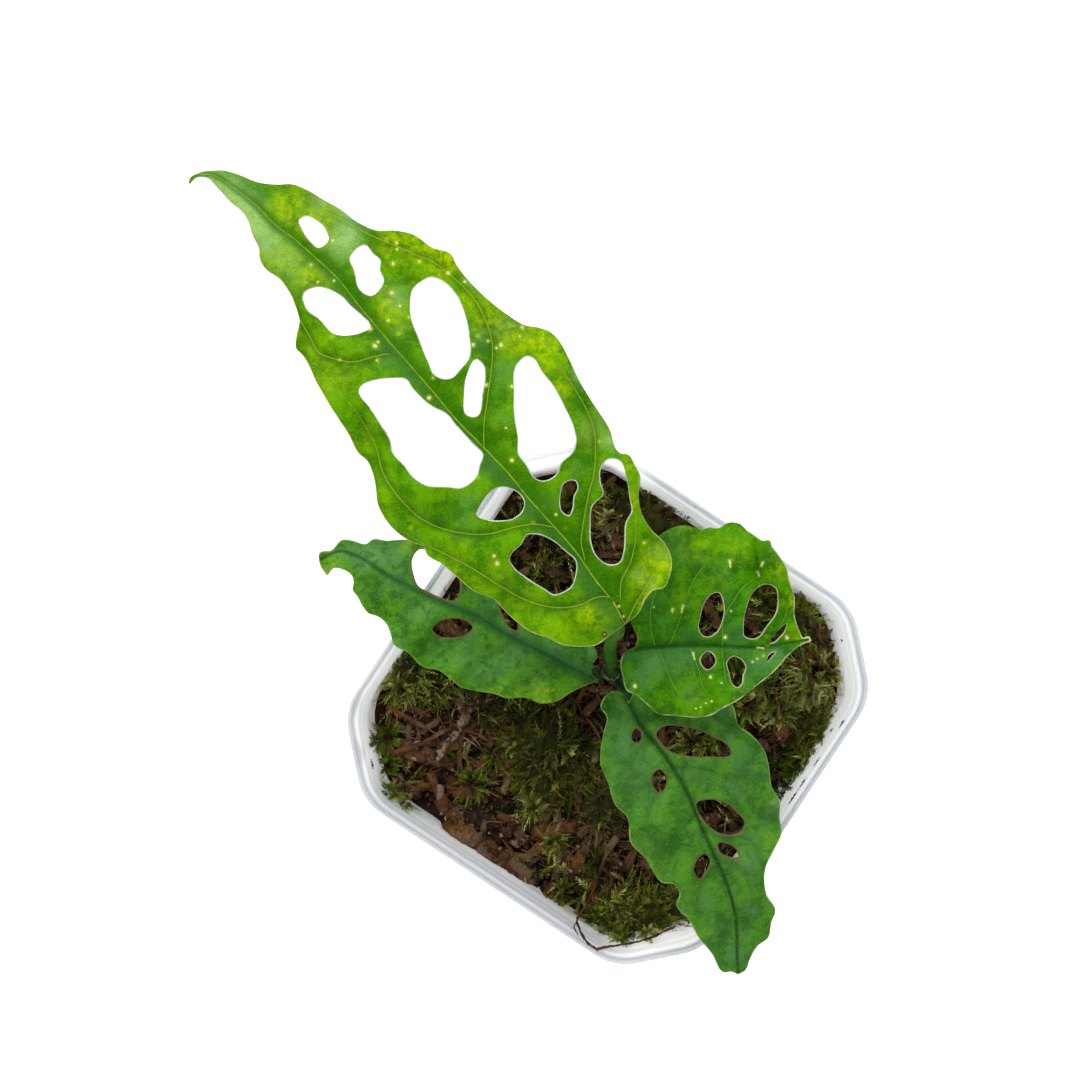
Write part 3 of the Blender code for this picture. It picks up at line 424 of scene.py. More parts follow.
def new_paint(name, **constants):
    """A Principled material, the constants on its own sockets, and a bare Signal to start its sums from."""
    paint = bpy.data.materials.new(name)
    paint.use_nodes = True
    for key, value in ({"Specular_IOR_Level": 0.12} | constants).items():
        paint.node_tree.nodes["Principled BSDF"].inputs[key.replace("_", " ")].default_value = value
    return paint, Signal(paint.node_tree)


def connect(paint, bump, bump_depth, bump_strength, **signals):
    """Links signals to the material's sockets, and a height signal through a Bump node to its Normal."""
    values = {"Height": bump, "Distance": bump_depth, "Strength": bump_strength}
    signals["Normal"] = bump.node("ShaderNodeBump", {}, values)
    for key, signal in signals.items():
        socket = paint.node_tree.nodes["Principled BSDF"].inputs[key.replace("_", " ")]
        paint.node_tree.links.new(signal.socket, socket)


# %% [markdown]
# ## The leaf blades
# A real blade is a sheet about a third of a millimetre thick. Its edge waves, it is holed between the side veins, it
# folds up a little from the midrib and puffs up between the veins. It could be cut from a grid with a see-through
# texture, but then a hole has no rim and the edge is jagged. Here every edge and hole is a curve, the space between is
# filled with a net of triangles, and the net is lifted to the blade's height, which is one formula over the pixels.

# %% What one leaf holds
class Leaf:
    """One leaf as drawn from the photograph. Pixels place it, and heights are in millimetres over the table.

    runs: the edge from corner to corner; ridge: the midrib's heights from base to tip, evenly spaced
    fold: how steeply both halves rise from the midrib at the base and the tip; tilt: left half up, right half down
    droop: how far the halves bend down again at 10 mm from the midrib; ripple: the edge waves' height and number
    swells: pixel, spread in pixels, rise; stalk: the route of the stalk as pixel and height
    veins: side veins as rows of pixels; quilt: how far the blade puffs up between them
    yellowed_and_lit, painted_reflections, specks, pale, shaded, rimmed: soft zones as pixel, radius and strength;
    yellowed_and_lit is yellowed tissue with painted light on some lit margins and tips, painted_reflections holds
    painted reflections of the sky, pale holds painted highlights, and shaded holds painted shade
    """

    def __init__(self, **facts):
        self.rimmed = ((540, 540, 5000, 1.0),)
        self.__dict__.update(facts)
        self.rib = smooth_run(self.midrib, 4.0)

    def along_and_across(self, pixels):
        """The share of the midrib passed, and the distance from it in pixels, + on its left looking to the tip."""
        reach = 80.0
        rib = self.rib
        before = rib[0] - reach * (rib[2] - rib[0]) / np.linalg.norm(rib[2] - rib[0])
        after = rib[-1] + reach * (rib[-1] - rib[-3]) / np.linalg.norm(rib[-1] - rib[-3])
        line = np.concatenate((before[None], rib, after[None]))
        _, signed, passed = line_distance(pixels, [line])
        length = np.linalg.norm(np.diff(line, axis=0), axis=1).sum()
        return (passed * length - reach) / (length - 2 * reach), signed

    def height(self, pixels, fine=False):
        """Ridge(along) + fold * |across| + tilt * across - droop * across^2 + edge waves + swells, and, if fine, the
        puffed fields between side veins, the groove over the midrib and small seeded dents."""
        along, signed = self.along_and_across(pixels)
        across = signed * PIXEL_SLOPE * (EYE_HEIGHT - self.ridge[0] * MM)
        inside = np.clip(along, 0, 1)
        ridge = smooth_run(list(enumerate(self.ridge)), 0.02)
        height = np.interp(inside * (len(self.ridge) - 1), ridge[:, 0], ridge[:, 1]) * MM
        fold = self.fold[0] + (self.fold[1] - self.fold[0]) * inside
        ten = across / (10 * MM)
        height += fold * (np.hypot(across, 1.5 * MM) - 1.5 * MM)
        height += self.tilt * across - self.droop * MM * ten**2
        rise, count = self.ripple
        side = np.where(across > 0, 0.6, 2.4)
        swing = np.sin(math.tau * count * along + side) + 0.6 * np.sin(math.tau * 0.61 * count * along + 3 * side)
        height += rise * MM * np.minimum(ten**2, 3) * swing
        for u, v, spread, swell in self.swells:
            height += swell * MM * np.exp(-((pixels - (u, v)) ** 2).sum(axis=1) / spread**2)
        if fine:
            near = line_distance(pixels, self.vein_lines())[0]
            height += self.quilt * MM * (1 - np.exp(-((near / 8.0) ** 2)) - 0.5)
            height -= 0.32 * MM * np.exp(-((signed / 3.0) ** 2))
            height += 0.15 * MM * waves(pixels, 26, 3) + 0.07 * MM * waves(pixels, 11, 4)
        return height

    def place(self, pixels, fine=False):
        return seen(pixels[:, 0], pixels[:, 1], self.height(pixels, fine))

    def vein_lines(self):
        return [smooth_run(vein, 4.0) for vein in self.veins]

    def loops(self, step):
        """The edge and every hole as closed rows of pixels about one step apart."""
        outline = np.concatenate([smooth_run(run, step)[:-1] for run in self.runs])
        return [outline] + [smooth_run(hole, step, closed=True) for hole in self.holes]


# %% Distances to lines
BLOCK = 1500


def line_distance(points, lines):
    """For each point: distance to the nearest line, the same with a sign (+ on the line's left as drawn in the
    photograph), and the share of that line passed. A point's foot on a stretch is its projection, kept between 0
    and 1. Done for BLOCK points at a time, to spare memory."""
    starts = np.concatenate([line[:-1] for line in lines])
    chords = np.concatenate([np.diff(line, axis=0) for line in lines])
    spans = [np.linalg.norm(np.diff(line, axis=0), axis=1) for line in lines]
    lengths = np.concatenate(spans)
    before = np.concatenate([(np.cumsum(span) - span) / span.sum() for span in spans])
    shares = np.concatenate([span / span.sum() for span in spans])
    away, signed, passed = [], [], []
    for first in range(0, len(points), BLOCK):
        block = points[first:first + BLOCK]
        offset = block[:, None] - starts
        foot = np.clip((offset * chords).sum(axis=2) / lengths**2, 0, 1)
        apart = np.linalg.norm(offset - foot[..., None] * chords, axis=2)
        nearest = apart.argmin(axis=1)
        rows = np.arange(len(block))
        gap, chord, offset = apart[rows, nearest], chords[nearest], offset[rows, nearest]
        left = np.sign(chord[:, 1] * offset[:, 0] - chord[:, 0] * offset[:, 1])
        away.append(gap)
        signed.append(gap * left)
        passed.append(before[nearest] + foot[rows, nearest] * shares[nearest])
    return np.concatenate(away), np.concatenate(signed), np.concatenate(passed)


# %% A net of triangles between an edge and its holes
def even_odd(points, loops):
    """True where a point lies inside an odd number of the closed loops: it counts the edges to the point's right."""
    start = np.concatenate(loops)
    end = np.concatenate([np.roll(loop, -1, axis=0) for loop in loops])
    run = np.where(end[:, 1] == start[:, 1], 1, end[:, 1] - start[:, 1])
    inside = []
    for first in range(0, len(points), BLOCK):
        x, y = points[first:first + BLOCK, None, 0], points[first:first + BLOCK, None, 1]
        crosses = (start[:, 1] > y) != (end[:, 1] > y)
        where = start[:, 0] + (y - start[:, 1]) * (end[:, 0] - start[:, 0]) / run
        inside.append((crosses & (x < where)).sum(axis=1) % 2 == 1)
    return np.concatenate(inside)


def ring_lines(loops):
    """Closed loops as lines that end where they start."""
    return [np.concatenate((loop, loop[:1])) for loop in loops]


def net(loops, step):
    """Triangles between closed loops: the loops' points and a hexagonal grid inside them, joined by Delaunay."""
    edges = np.concatenate(loops)
    low, high = edges.min(axis=0), edges.max(axis=0)
    rows = np.arange(low[1], high[1], step * math.sqrt(3) / 2)
    columns = np.arange(low[0], high[0], step)
    u = columns[None, :] + (np.arange(len(rows)) % 2)[:, None] * step / 2
    grid = np.column_stack((u.ravel(), np.repeat(rows, len(columns))))
    grid = grid[even_odd(grid, loops)]
    grid = grid[line_distance(grid, ring_lines(loops))[0] > 0.62 * step]
    points = np.concatenate((edges, grid))
    sizes = np.array([len(loop) for loop in loops])
    firsts = np.repeat(np.cumsum(sizes) - sizes, sizes)
    ids = np.arange(len(edges))
    nexts = firsts + (ids - firsts + 1) % np.repeat(sizes, sizes)
    result = delaunay_2d_cdt(points.tolist(), np.column_stack((ids, nexts)).tolist(), [], 0, 1e-4)
    points = np.array([tuple(point) for point in result[0]])
    faces = np.array(result[2])
    faces = faces[even_odd(points[faces].mean(axis=1), loops)]
    a, b, c = (points[faces[:, i]] for i in range(3))
    turned_round = (b[:, 0] - a[:, 0]) * (c[:, 1] - a[:, 1]) - (b[:, 1] - a[:, 1]) * (c[:, 0] - a[:, 0]) > 0
    faces[turned_round] = faces[turned_round][:, ::-1]
    return points, faces


# %% From the net to a closed blade
BLADE_THICKNESS = 0.46 * MM
RIM_BULGE = 0.13 * MM


def point_normals(points, faces):
    """Each point's normal: the sum of its faces' cross products, made one long."""
    a, b, c = (points[faces[:, i]] for i in range(3))
    crosses = np.cross(b - a, c - a)
    normals = np.stack([
        sum(np.bincount(faces[:, corner], crosses[:, axis], len(points)) for corner in range(3)) for axis in range(3)
    ], axis=1)
    return unit(normals)


def open_edges(faces):
    """The directed edges that only one face has: the blade's edge and its holes' rims."""
    edges = np.concatenate((faces[:, (0, 1)], faces[:, (1, 2)], faces[:, (2, 0)])).astype(np.int64)
    size = faces.max() + 1
    forth, back = edges[:, 0] * size + edges[:, 1], edges[:, 1] * size + edges[:, 0]
    return edges[~np.isin(forth, back)]


def closed_sheet(middle, faces, thickness, bulge):
    """A sheet round a middle surface: middle + normal * half, middle - normal * half, and along every rim a third
    row of points, pushed outwards by bulge, so that the rim is round. Also gives each point's source."""
    normals = point_normals(middle, faces)
    rims = open_edges(faces)
    outward = unit(np.cross(middle[rims[:, 1]] - middle[rims[:, 0]], normals[rims[:, 0]]))
    rim_ids = np.unique(rims)
    push = np.stack([
        np.bincount(rims[:, 0], outward[:, axis], len(middle)) + np.bincount(rims[:, 1], outward[:, axis], len(middle))
        for axis in range(3)
    ], axis=1)[rim_ids]
    half = normals * thickness / 2
    points = np.concatenate((middle + half, middle - half, middle[rim_ids] + unit(push) * bulge))
    count = len(middle)
    ring = np.zeros(count, int)
    ring[rim_ids] = 2 * count + np.arange(len(rim_ids))
    start, end = rims[:, 0], rims[:, 1]
    upper = np.column_stack((end, start, ring[start], ring[end]))
    lower = np.column_stack((ring[end], ring[start], start + count, end + count))
    triangles = np.concatenate((faces, faces[:, ::-1] + count))
    source = np.concatenate((np.arange(count), np.arange(count), rim_ids))
    return points, triangles, np.concatenate((upper, lower)), source


# %% [markdown]
# ## What a leaf looks like up close
# A live blade is never one green. The midrib lies in a groove with a light thread on its floor, thin side veins run in
# furrows, the tissue is mottled, older spots turn yellow, insects leave cream specks, and every cut edge heals to a
# pale line. The shade in the groove and the furrows is painted into the colour, lighter on the midrib's lit side, and
# so are painted reflections of the sky, painted highlights and painted light on some lit margins and tips. An image
# could hold all that, but it would be soft and fixed to one size. Here each blade point knows its distance to the
# midrib, to the nearest side vein and to the nearest rim, so that the shader can draw a line as sharp as it likes at
# any zoom.

# %% A blade's material
BLADE_UNIT = 100.0


def on_blade(rows):
    """Rows of pixel and radius in pixels as places and radii on a blade's own UV map."""
    return [(u / BLADE_UNIT, v / BLADE_UNIT, 0.0, radius / BLADE_UNIT) for u, v, radius in rows]


def leaf_paint(name, deep, bright, yellow, sheen, highlight_tint, left_groove, right_groove, thread, vein, rim, hole_rim,
               scars=(), brown=(), crease_shade=0.0, thread_strength=1.0, vein_strength=0.5, band_strength=0.35,
               groove_strength=0.8, groove_width=10.0, band_width=5.0, rim_width=0.8, hole_rim_width=0.6, gloss=0.1,
               roughness=0.36, dapple=0.3):
    """The finish of one leaf.

    deep, bright: its two greens; yellow: yellowed patches, with painted light on some lit margins and tips
    sheen: painted grey-blue reflections of the sky; highlight_tint: painted pale highlights
    left_groove, right_groove: painted shade in the groove on each side of the midrib, looking to the tip, lighter on
    the lit side; crease_shade: the share of painted dark shade in the midrib's crease
    thread, vein: the light lines on the midrib and side veins; rim, hole_rim: healed edges
    scars, brown: spots in pixels; dapple: the strength of the small darker and lighter spots
    """
    paint, start = new_paint(name, Specular_IOR_Level=gloss)
    across, along, edge = start.attribute("rib").parts()
    signed, near, passed = start.attribute("vein").parts()
    yellowed_and_lit, painted_reflections, holed = start.attribute("patch").parts()
    speckled, pale, shaded = start.attribute("marks").parts()
    rimmed = start.attribute("rimmed", "Fac")
    at = start.node("ShaderNodeUVMap", {"uv_map": "blade"}, output="UV")
    dark = tinted(deep, 0.5)

    mottle = at.noise(3.4, 5.0, 0.65)
    fine = at.noise(42.0, 3.0, 0.7)
    blotch = at.noise(13.0, 3.0, 0.6).above(0.46, 0.58)
    cloud = at.noise(8.0, 4.0, 0.65).above(0.36, 0.62)
    reflection_share = (painted_reflections * (0.5 + at.noise(6.0, 4.0, 0.6))).least(1.0)
    groove = (abs(across) / (1.12 - along * 0.95)).above(groove_width, 0.2 * groove_width)
    groove_colour = across.above(-1.0, 1.0).mixed(right_groove, left_groove)
    fading = passed.above(1.0, 0.55)
    band = near.above(band_width, 0.4) * fading
    side_line = abs(signed).above(0.95, 0.3) * near.above(3.6, 2.4) * (0.2 + 0.8 * fading)
    crease_shade_line = abs(across).above(3.2, 0.9) * (1 - along * 0.4)
    line = (abs(across) + along * 0.4).above(1.2, 0.55)
    grain = at.noise(95.0, 2.0, 0.6)
    cells = at.node("ShaderNodeTexVoronoi", {"feature": "DISTANCE_TO_EDGE"}, {"Vector": at, "Scale": 15.0})
    mesh_of_veins = cells.above(0.09, 0.02)
    colour = coated(
        (mottle * 0.72 + fine * 0.28).above(0.41, 0.58).mixed(deep, bright),
        (shaded * (0.55 + blotch * 0.4), dark),
        # painted reflections of the sky, grey-blue
        (reflection_share, sheen),
        # painted highlights on the pale zones
        ((pale * (0.55 + at.noise(9.0, 4.0, 0.6) * 0.8)).least(0.95), highlight_tint),
        # yellowed tissue, with painted light on some lit margins and tips
        ((yellowed_and_lit * (0.10 + cloud * 0.45 + blotch * 0.6)).least(0.92), yellow),
        (at.noise(10.0, 2.0, 0.55).above(0.54, 0.62) * dapple, tinted(deep, 0.75)),
        (at.noise(13.0, 2.0, 0.55).above(0.55, 0.64) * dapple * 0.8, tinted(bright, 1.2)),
        # painted shade in the midrib's groove, lighter on its lit side
        (groove * groove_strength * (0.75 + 0.4 * mottle), groove_colour),
        # painted shade in the furrows along the side veins
        (band * band_strength, dark),
        (side_line * vein_strength, vein),
        # painted dark shade in the midrib's crease
        (crease_shade_line * crease_shade, tinted(deep, 0.3)),
        (line * thread_strength * (0.6 + 0.4 * blotch), thread),
        (grain.above(0.52, 0.34) * 0.5, dark),
        (grain.above(0.54, 0.70) * 0.36, tinted(bright, 1.35)),
        (mesh_of_veins * 0.10, bright),
    )

    ragged = at.shaken(0.014, 45.0)
    scatter = "ShaderNodeTexVoronoi", {"feature": "F1"}, {"Vector": ragged, "Scale": 9.0}
    dots = ragged.node(*scatter)
    picked, size, _ = ragged.node(*scatter, output="Color").parts()
    chosen = (picked + speckled * 0.9 - 0.98).above(0.0, 0.02)
    dot = (dots - size * 0.07).above(0.11, 0.06) * chosen
    halo = dots.above(0.40, 0.1) * chosen
    if scars:
        dot = dot.most(ragged.near_any(on_blade(scars), 0.7))
        halo = halo.most(at.near_any(on_blade([(u, v, radius * 2.6) for u, v, radius in scars]), 0.2))
    if brown:
        colour = coated(colour, (ragged.near_any(on_blade(brown), 0.7) * 0.92, (0.085, 0.032, 0.030)))
    ends = 0.25 + 0.75 * at.noise(7.0, 3.0).above(0.38, 0.58)
    edge_line = edge.above(rim_width, rim_width * 0.3) * (1 - holed) * rimmed
    hole_line = edge.above(hole_rim_width, hole_rim_width * 0.3) * holed
    colour = coated(
        colour, (halo * 0.45, yellow), (dot * 0.92, (0.82, 0.80, 0.50)), (edge_line * ends, rim),
        (hole_line * (0.5 + 0.5 * ends), hole_rim),
    )

    rough = roughness + 0.14 * fine + 0.22 * dot + 0.2 * edge_line - 0.06 * reflection_share
    height = 0.45 * fine + 0.3 * mesh_of_veins - 0.9 * side_line - 0.5 * band - 0.7 * line + at.noise(9.0, 2.0) * 0.8
    connect(paint, height, 0.12 * MM, 0.85, Base_Color=colour, Roughness=rough)
    return paint


# %% [markdown]
# ## The four leaves
# The long leaf is youngest and highest: yellow-green and holed along both sides, with a margin that twists over at its
# base. The left leaf hangs lowest and is blue-green, the right one folds up at its tip, and the front one is glossy,
# with thick brown calluses round its holes. The rows below are those edges, holes, midribs and side veins, set on the
# photograph, with the heights that a side view of such a plant shows.

# %% The long leaf
long_leaf = Leaf(
    name="leaf_long",
    runs=(
        ((625, 624), (610, 635), (595, 645), (582, 646), (562, 644), (547, 637), (532, 632), (519, 623), (502, 607),
         (497, 601), (473, 590), (460, 579), (443, 564), (427, 554), (423, 545), (419, 544), (401, 535), (384, 516),
         (378, 503), (376, 486), (373, 473), (367, 460), (360, 454), (349, 434), (332, 408), (319, 386), (302, 354),
         (297, 349), (297, 336), (300, 321), (297, 309), (289, 291), (278, 277), (266, 269), (260, 258), (259, 248),
         (253, 235), (248, 220), (240, 209), (232, 203), (219, 189), (206, 177), (197, 177), (189, 184)),
        ((189, 184), (190, 179), (200, 173), (213, 171), (224, 171), (238, 175), (259, 183), (275, 185), (293, 185),
         (306, 190), (323, 200), (339, 209), (358, 223), (377, 231), (394, 231), (413, 235), (432, 248), (451, 255),
         (456, 265), (465, 277), (477, 290), (490, 302), (507, 315), (526, 326), (538, 328), (551, 333), (560, 343),
         (568, 358), (580, 383), (593, 404), (608, 427), (621, 454), (628, 455), (634, 465), (640, 478), (639, 486),
         (638, 494), (640, 510), (651, 530), (664, 543), (671, 558), (669, 577), (664, 587), (653, 590), (645, 599),
         (639, 612), (625, 624)),
    ),
    holes=(
        ((299, 220), (306, 216), (316, 220), (326, 230), (329, 240), (318, 248), (310, 241), (303, 231)),
        ((350, 258), (354, 251), (365, 245), (374, 254), (381, 261), (380, 269), (384, 281), (370, 296), (360, 290),
         (354, 270)),
        ((304, 293), (309, 289), (317, 287), (340, 295), (352, 307), (370, 328), (358, 334), (334, 334), (318, 318),
         (309, 312)),
        ((410, 299), (412, 290), (420, 282), (431, 277), (441, 280), (455, 293), (465, 314), (469, 333), (469, 358),
         (460, 370), (452, 378), (444, 379), (436, 376), (427, 360), (418, 337), (411, 318)),
        ((477, 359), (483, 364), (485, 375), (483, 391), (475, 417), (468, 416), (464, 391), (466, 377)),
        ((518, 363), (528, 356), (533, 358), (543, 373), (554, 387), (564, 406), (573, 425), (576, 440), (574, 450),
         (561, 464), (557, 474), (551, 479), (540, 481), (534, 478), (527, 466), (518, 453), (518, 438), (515, 421),
         (514, 396)),
        ((359, 389), (362, 385), (374, 380), (393, 378), (406, 379), (412, 387), (429, 404), (448, 415), (456, 425),
         (471, 442), (483, 456), (480, 465), (477, 476), (469, 484), (461, 488), (448, 487), (425, 485), (414, 478),
         (404, 465), (393, 453), (390, 440), (380, 423), (370, 408)),
        ((476, 514), (479, 508), (491, 491), (499, 487), (510, 488), (521, 495), (525, 503), (522, 512), (513, 519),
         (501, 521), (488, 520)),
        ((563, 484), (570, 480), (576, 481), (578, 487), (574, 497), (573, 508), (569, 516), (563, 513), (560, 494)),
        ((509, 559), (513, 551), (521, 544), (526, 535), (537, 534), (551, 539), (566, 551), (576, 561), (576, 575),
         (572, 586), (562, 593), (555, 595), (544, 589), (525, 577), (514, 568)),
        ((619, 460), (627, 478), (630, 497), (632, 511), (626, 523), (625, 538), (624, 551), (619, 563), (610, 565),
         (604, 563), (595, 554), (591, 543), (590, 525), (592, 506), (603, 493), (600, 482), (601, 467), (608, 459)),
    ),
    midrib=(
        (625, 624), (614, 603), (597, 582), (575, 551), (553, 525), (526, 495), (509, 474), (484, 448), (455, 418),
        (434, 393), (411, 366), (381, 332), (360, 307), (339, 280), (318, 260), (297, 241), (276, 225), (255, 204),
        (234, 188), (213, 175), (200, 174),
    ),
    veins=(
        ((484, 448), (484, 427), (487, 400), (491, 368), (492, 345), (486, 322), (475, 301), (456, 280), (435, 263),
         (414, 254), (393, 245), (372, 236), (350, 224), (325, 211), (300, 197), (270, 185), (240, 178)),
        ((585, 558), (581, 543), (583, 525), (588, 497), (594, 473), (595, 452), (593, 427), (583, 404), (568, 379),
         (553, 356), (536, 339)),
        ((551, 527), (536, 524), (514, 527), (488, 534), (453, 531), (423, 519), (401, 499), (382, 469), (378, 451),
         (367, 428), (352, 406), (330, 382), (317, 365)),
        ((388, 354), (373, 357), (352, 362), (335, 359), (320, 353), (310, 336), (300, 319), (287, 288),
         (274, 268), (262, 244)),
        ((612, 598), (601, 596), (579, 605), (553, 607), (525, 599), (501, 586), (469, 566), (436, 549), (414, 538),
         (388, 514)),
        ((620, 597), (621, 582), (630, 562), (635, 538), (635, 517)),
        ((627, 621), (636, 603), (649, 582), (660, 560)),
    ),
    ridge=(130.5, 135, 138, 139, 137.5, 134, 128), fold=(0.24, 0.12), tilt=-0.03, droop=1.3, ripple=(0.55, 5.5),
    swells=((643, 480, 15, 4.0), (664, 560, 20, -3.0), (189, 182, 14, -4.0), (455, 258, 22, 1.6),
            (280, 285, 20, 1.4), (400, 540, 26, -1.2), (590, 645, 24, -1.5), (548, 332, 22, 1.0)),
    stalk=((611, 660, 99), (610, 647, 109), (613, 637, 120), (619, 629, 127.5)), quilt=0.6,
    rimmed=((226, 198, 16, 0.7), (244, 220, 18, 1.0), (258, 258, 20, 1.0), (285, 290, 20, 1.0), (298, 335, 22, 1.0),
            (330, 400, 34, 0.9), (370, 470, 34, 0.9), (410, 540, 34, 1.0), (470, 590, 36, 1.0), (540, 640, 36, 1.0),
            (600, 645, 26, 1.0), (650, 600, 22, 0.9), (674, 565, 18, 0.8), (655, 530, 16, 0.6), (640, 490, 14, 0.4)),
    yellowed_and_lit=((286, 256, 18, 0.35), (302, 276, 14, 0.35), (447, 262, 14, 0.5), (330, 206, 14, 0.35),
          (420, 246, 24, 0.8), (443, 263, 15, 1.0), (392, 240, 16, 0.6), (385, 300, 12, 0.5), (392, 320, 16, 0.6),
          (290, 208, 18, 0.8), (318, 224, 16, 0.8), (316, 280, 14, 0.6), (272, 262, 10, 0.4), (318, 350, 20, 0.3),
          (350, 372, 16, 0.35), (324, 384, 14, 0.4), (468, 300, 10, 0.7), (481, 324, 9, 0.7), (516, 340, 16, 0.9),
          (538, 336, 14, 0.9), (550, 356, 14, 0.8), (564, 386, 9, 0.8), (590, 436, 12, 0.4), (500, 322, 14, 0.5),
          (660, 560, 16, 0.9), (650, 580, 16, 0.9), (640, 600, 12, 0.6), (634, 500, 9, 0.7), (628, 470, 10, 0.6),
          (588, 612, 14, 0.55), (604, 620, 14, 0.5), (560, 632, 26, 0.3), (515, 600, 24, 0.25), (480, 578, 20, 0.25),
          (452, 556, 14, 0.35), (380, 500, 12, 0.3), (366, 440, 10, 0.4), (485, 308, 10, 0.5)),
    painted_reflections=((388, 354, 14, 0.7), (412, 376, 10, 0.5), (462, 430, 8, 0.5), (492, 466, 10, 0.5),
          (330, 280, 8, 0.5), (350, 305, 8, 0.5), (478, 340, 12, 0.7), (505, 372, 12, 0.7),
          (500, 330, 12, 0.7), (520, 318, 14, 0.7), (520, 500, 12, 0.5), (548, 505, 10, 0.4), (584, 380, 10, 0.5),
          (604, 416, 12, 0.4), (618, 440, 10, 0.4), (394, 296, 12, 0.6), (400, 330, 10, 0.5), (502, 420, 8, 0.4),
          (490, 470, 9, 0.4), (470, 502, 12, 0.4), (466, 525, 12, 0.35), (575, 470, 8, 0.4),
          (596, 595, 7, 0.9), (520, 512, 10, 0.5), (236, 184, 16, 0.6), (256, 200, 12, 0.4)),
    pale=((226, 190, 14, 1.0), (240, 206, 14, 1.0), (252, 222, 14, 1.0), (266, 240, 15, 0.9), (285, 258, 15, 0.5),
          (300, 278, 13, 0.2), (343, 243, 14, 0.9), (208, 176, 12, 0.8), (352, 230, 10, 0.6), (396, 300, 10, 0.5),
          (660, 552, 8, 0.5), (350, 318, 10, 0.3), (474, 278, 9, 0.6), (580, 374, 7, 0.8), (610, 440, 8, 0.7),
          (322, 204, 12, 0.7), (346, 216, 12, 0.6), (640, 575, 6, 0.5), (650, 585, 6, 0.5), (592, 430, 12, 0.4)),
    shaded=((430, 395, 13, 0.6), (292, 222, 11, 0.6), (307, 244, 9, 0.75), (325, 258, 11, 0.75), (342, 272, 10, 0.7),
            (362, 300, 13, 0.75), (374, 322, 10, 0.6), (480, 400, 12, 0.5), (448, 380, 12, 0.6), (498, 440, 14, 0.4),
            (452, 268, 8, 0.3),
            (520, 480, 16, 0.45), (560, 530, 16, 0.5), (590, 560, 20, 0.6), (610, 584, 16, 0.6), (540, 500, 14, 0.4),
            (600, 480, 10, 0.3), (580, 500, 12, 0.4), (262, 262, 8, 0.5), (290, 310, 9, 0.4), (540, 420, 8, 0.3),
            (588, 540, 10, 0.5), (560, 545, 14, 0.4), (640, 560, 10, 0.4), (430, 505, 14, 0.3)),
    specks=((400, 265, 42, 0.55), (440, 330, 40, 0.22), (530, 342, 18, 0.5), (390, 347, 10, 0.9), (485, 345, 14, 0.6),
            (497, 565, 7, 0.9), (650, 565, 22, 0.5), (540, 470, 60, 0.14), (330, 360, 26, 0.2), (600, 480, 40, 0.12)),
)

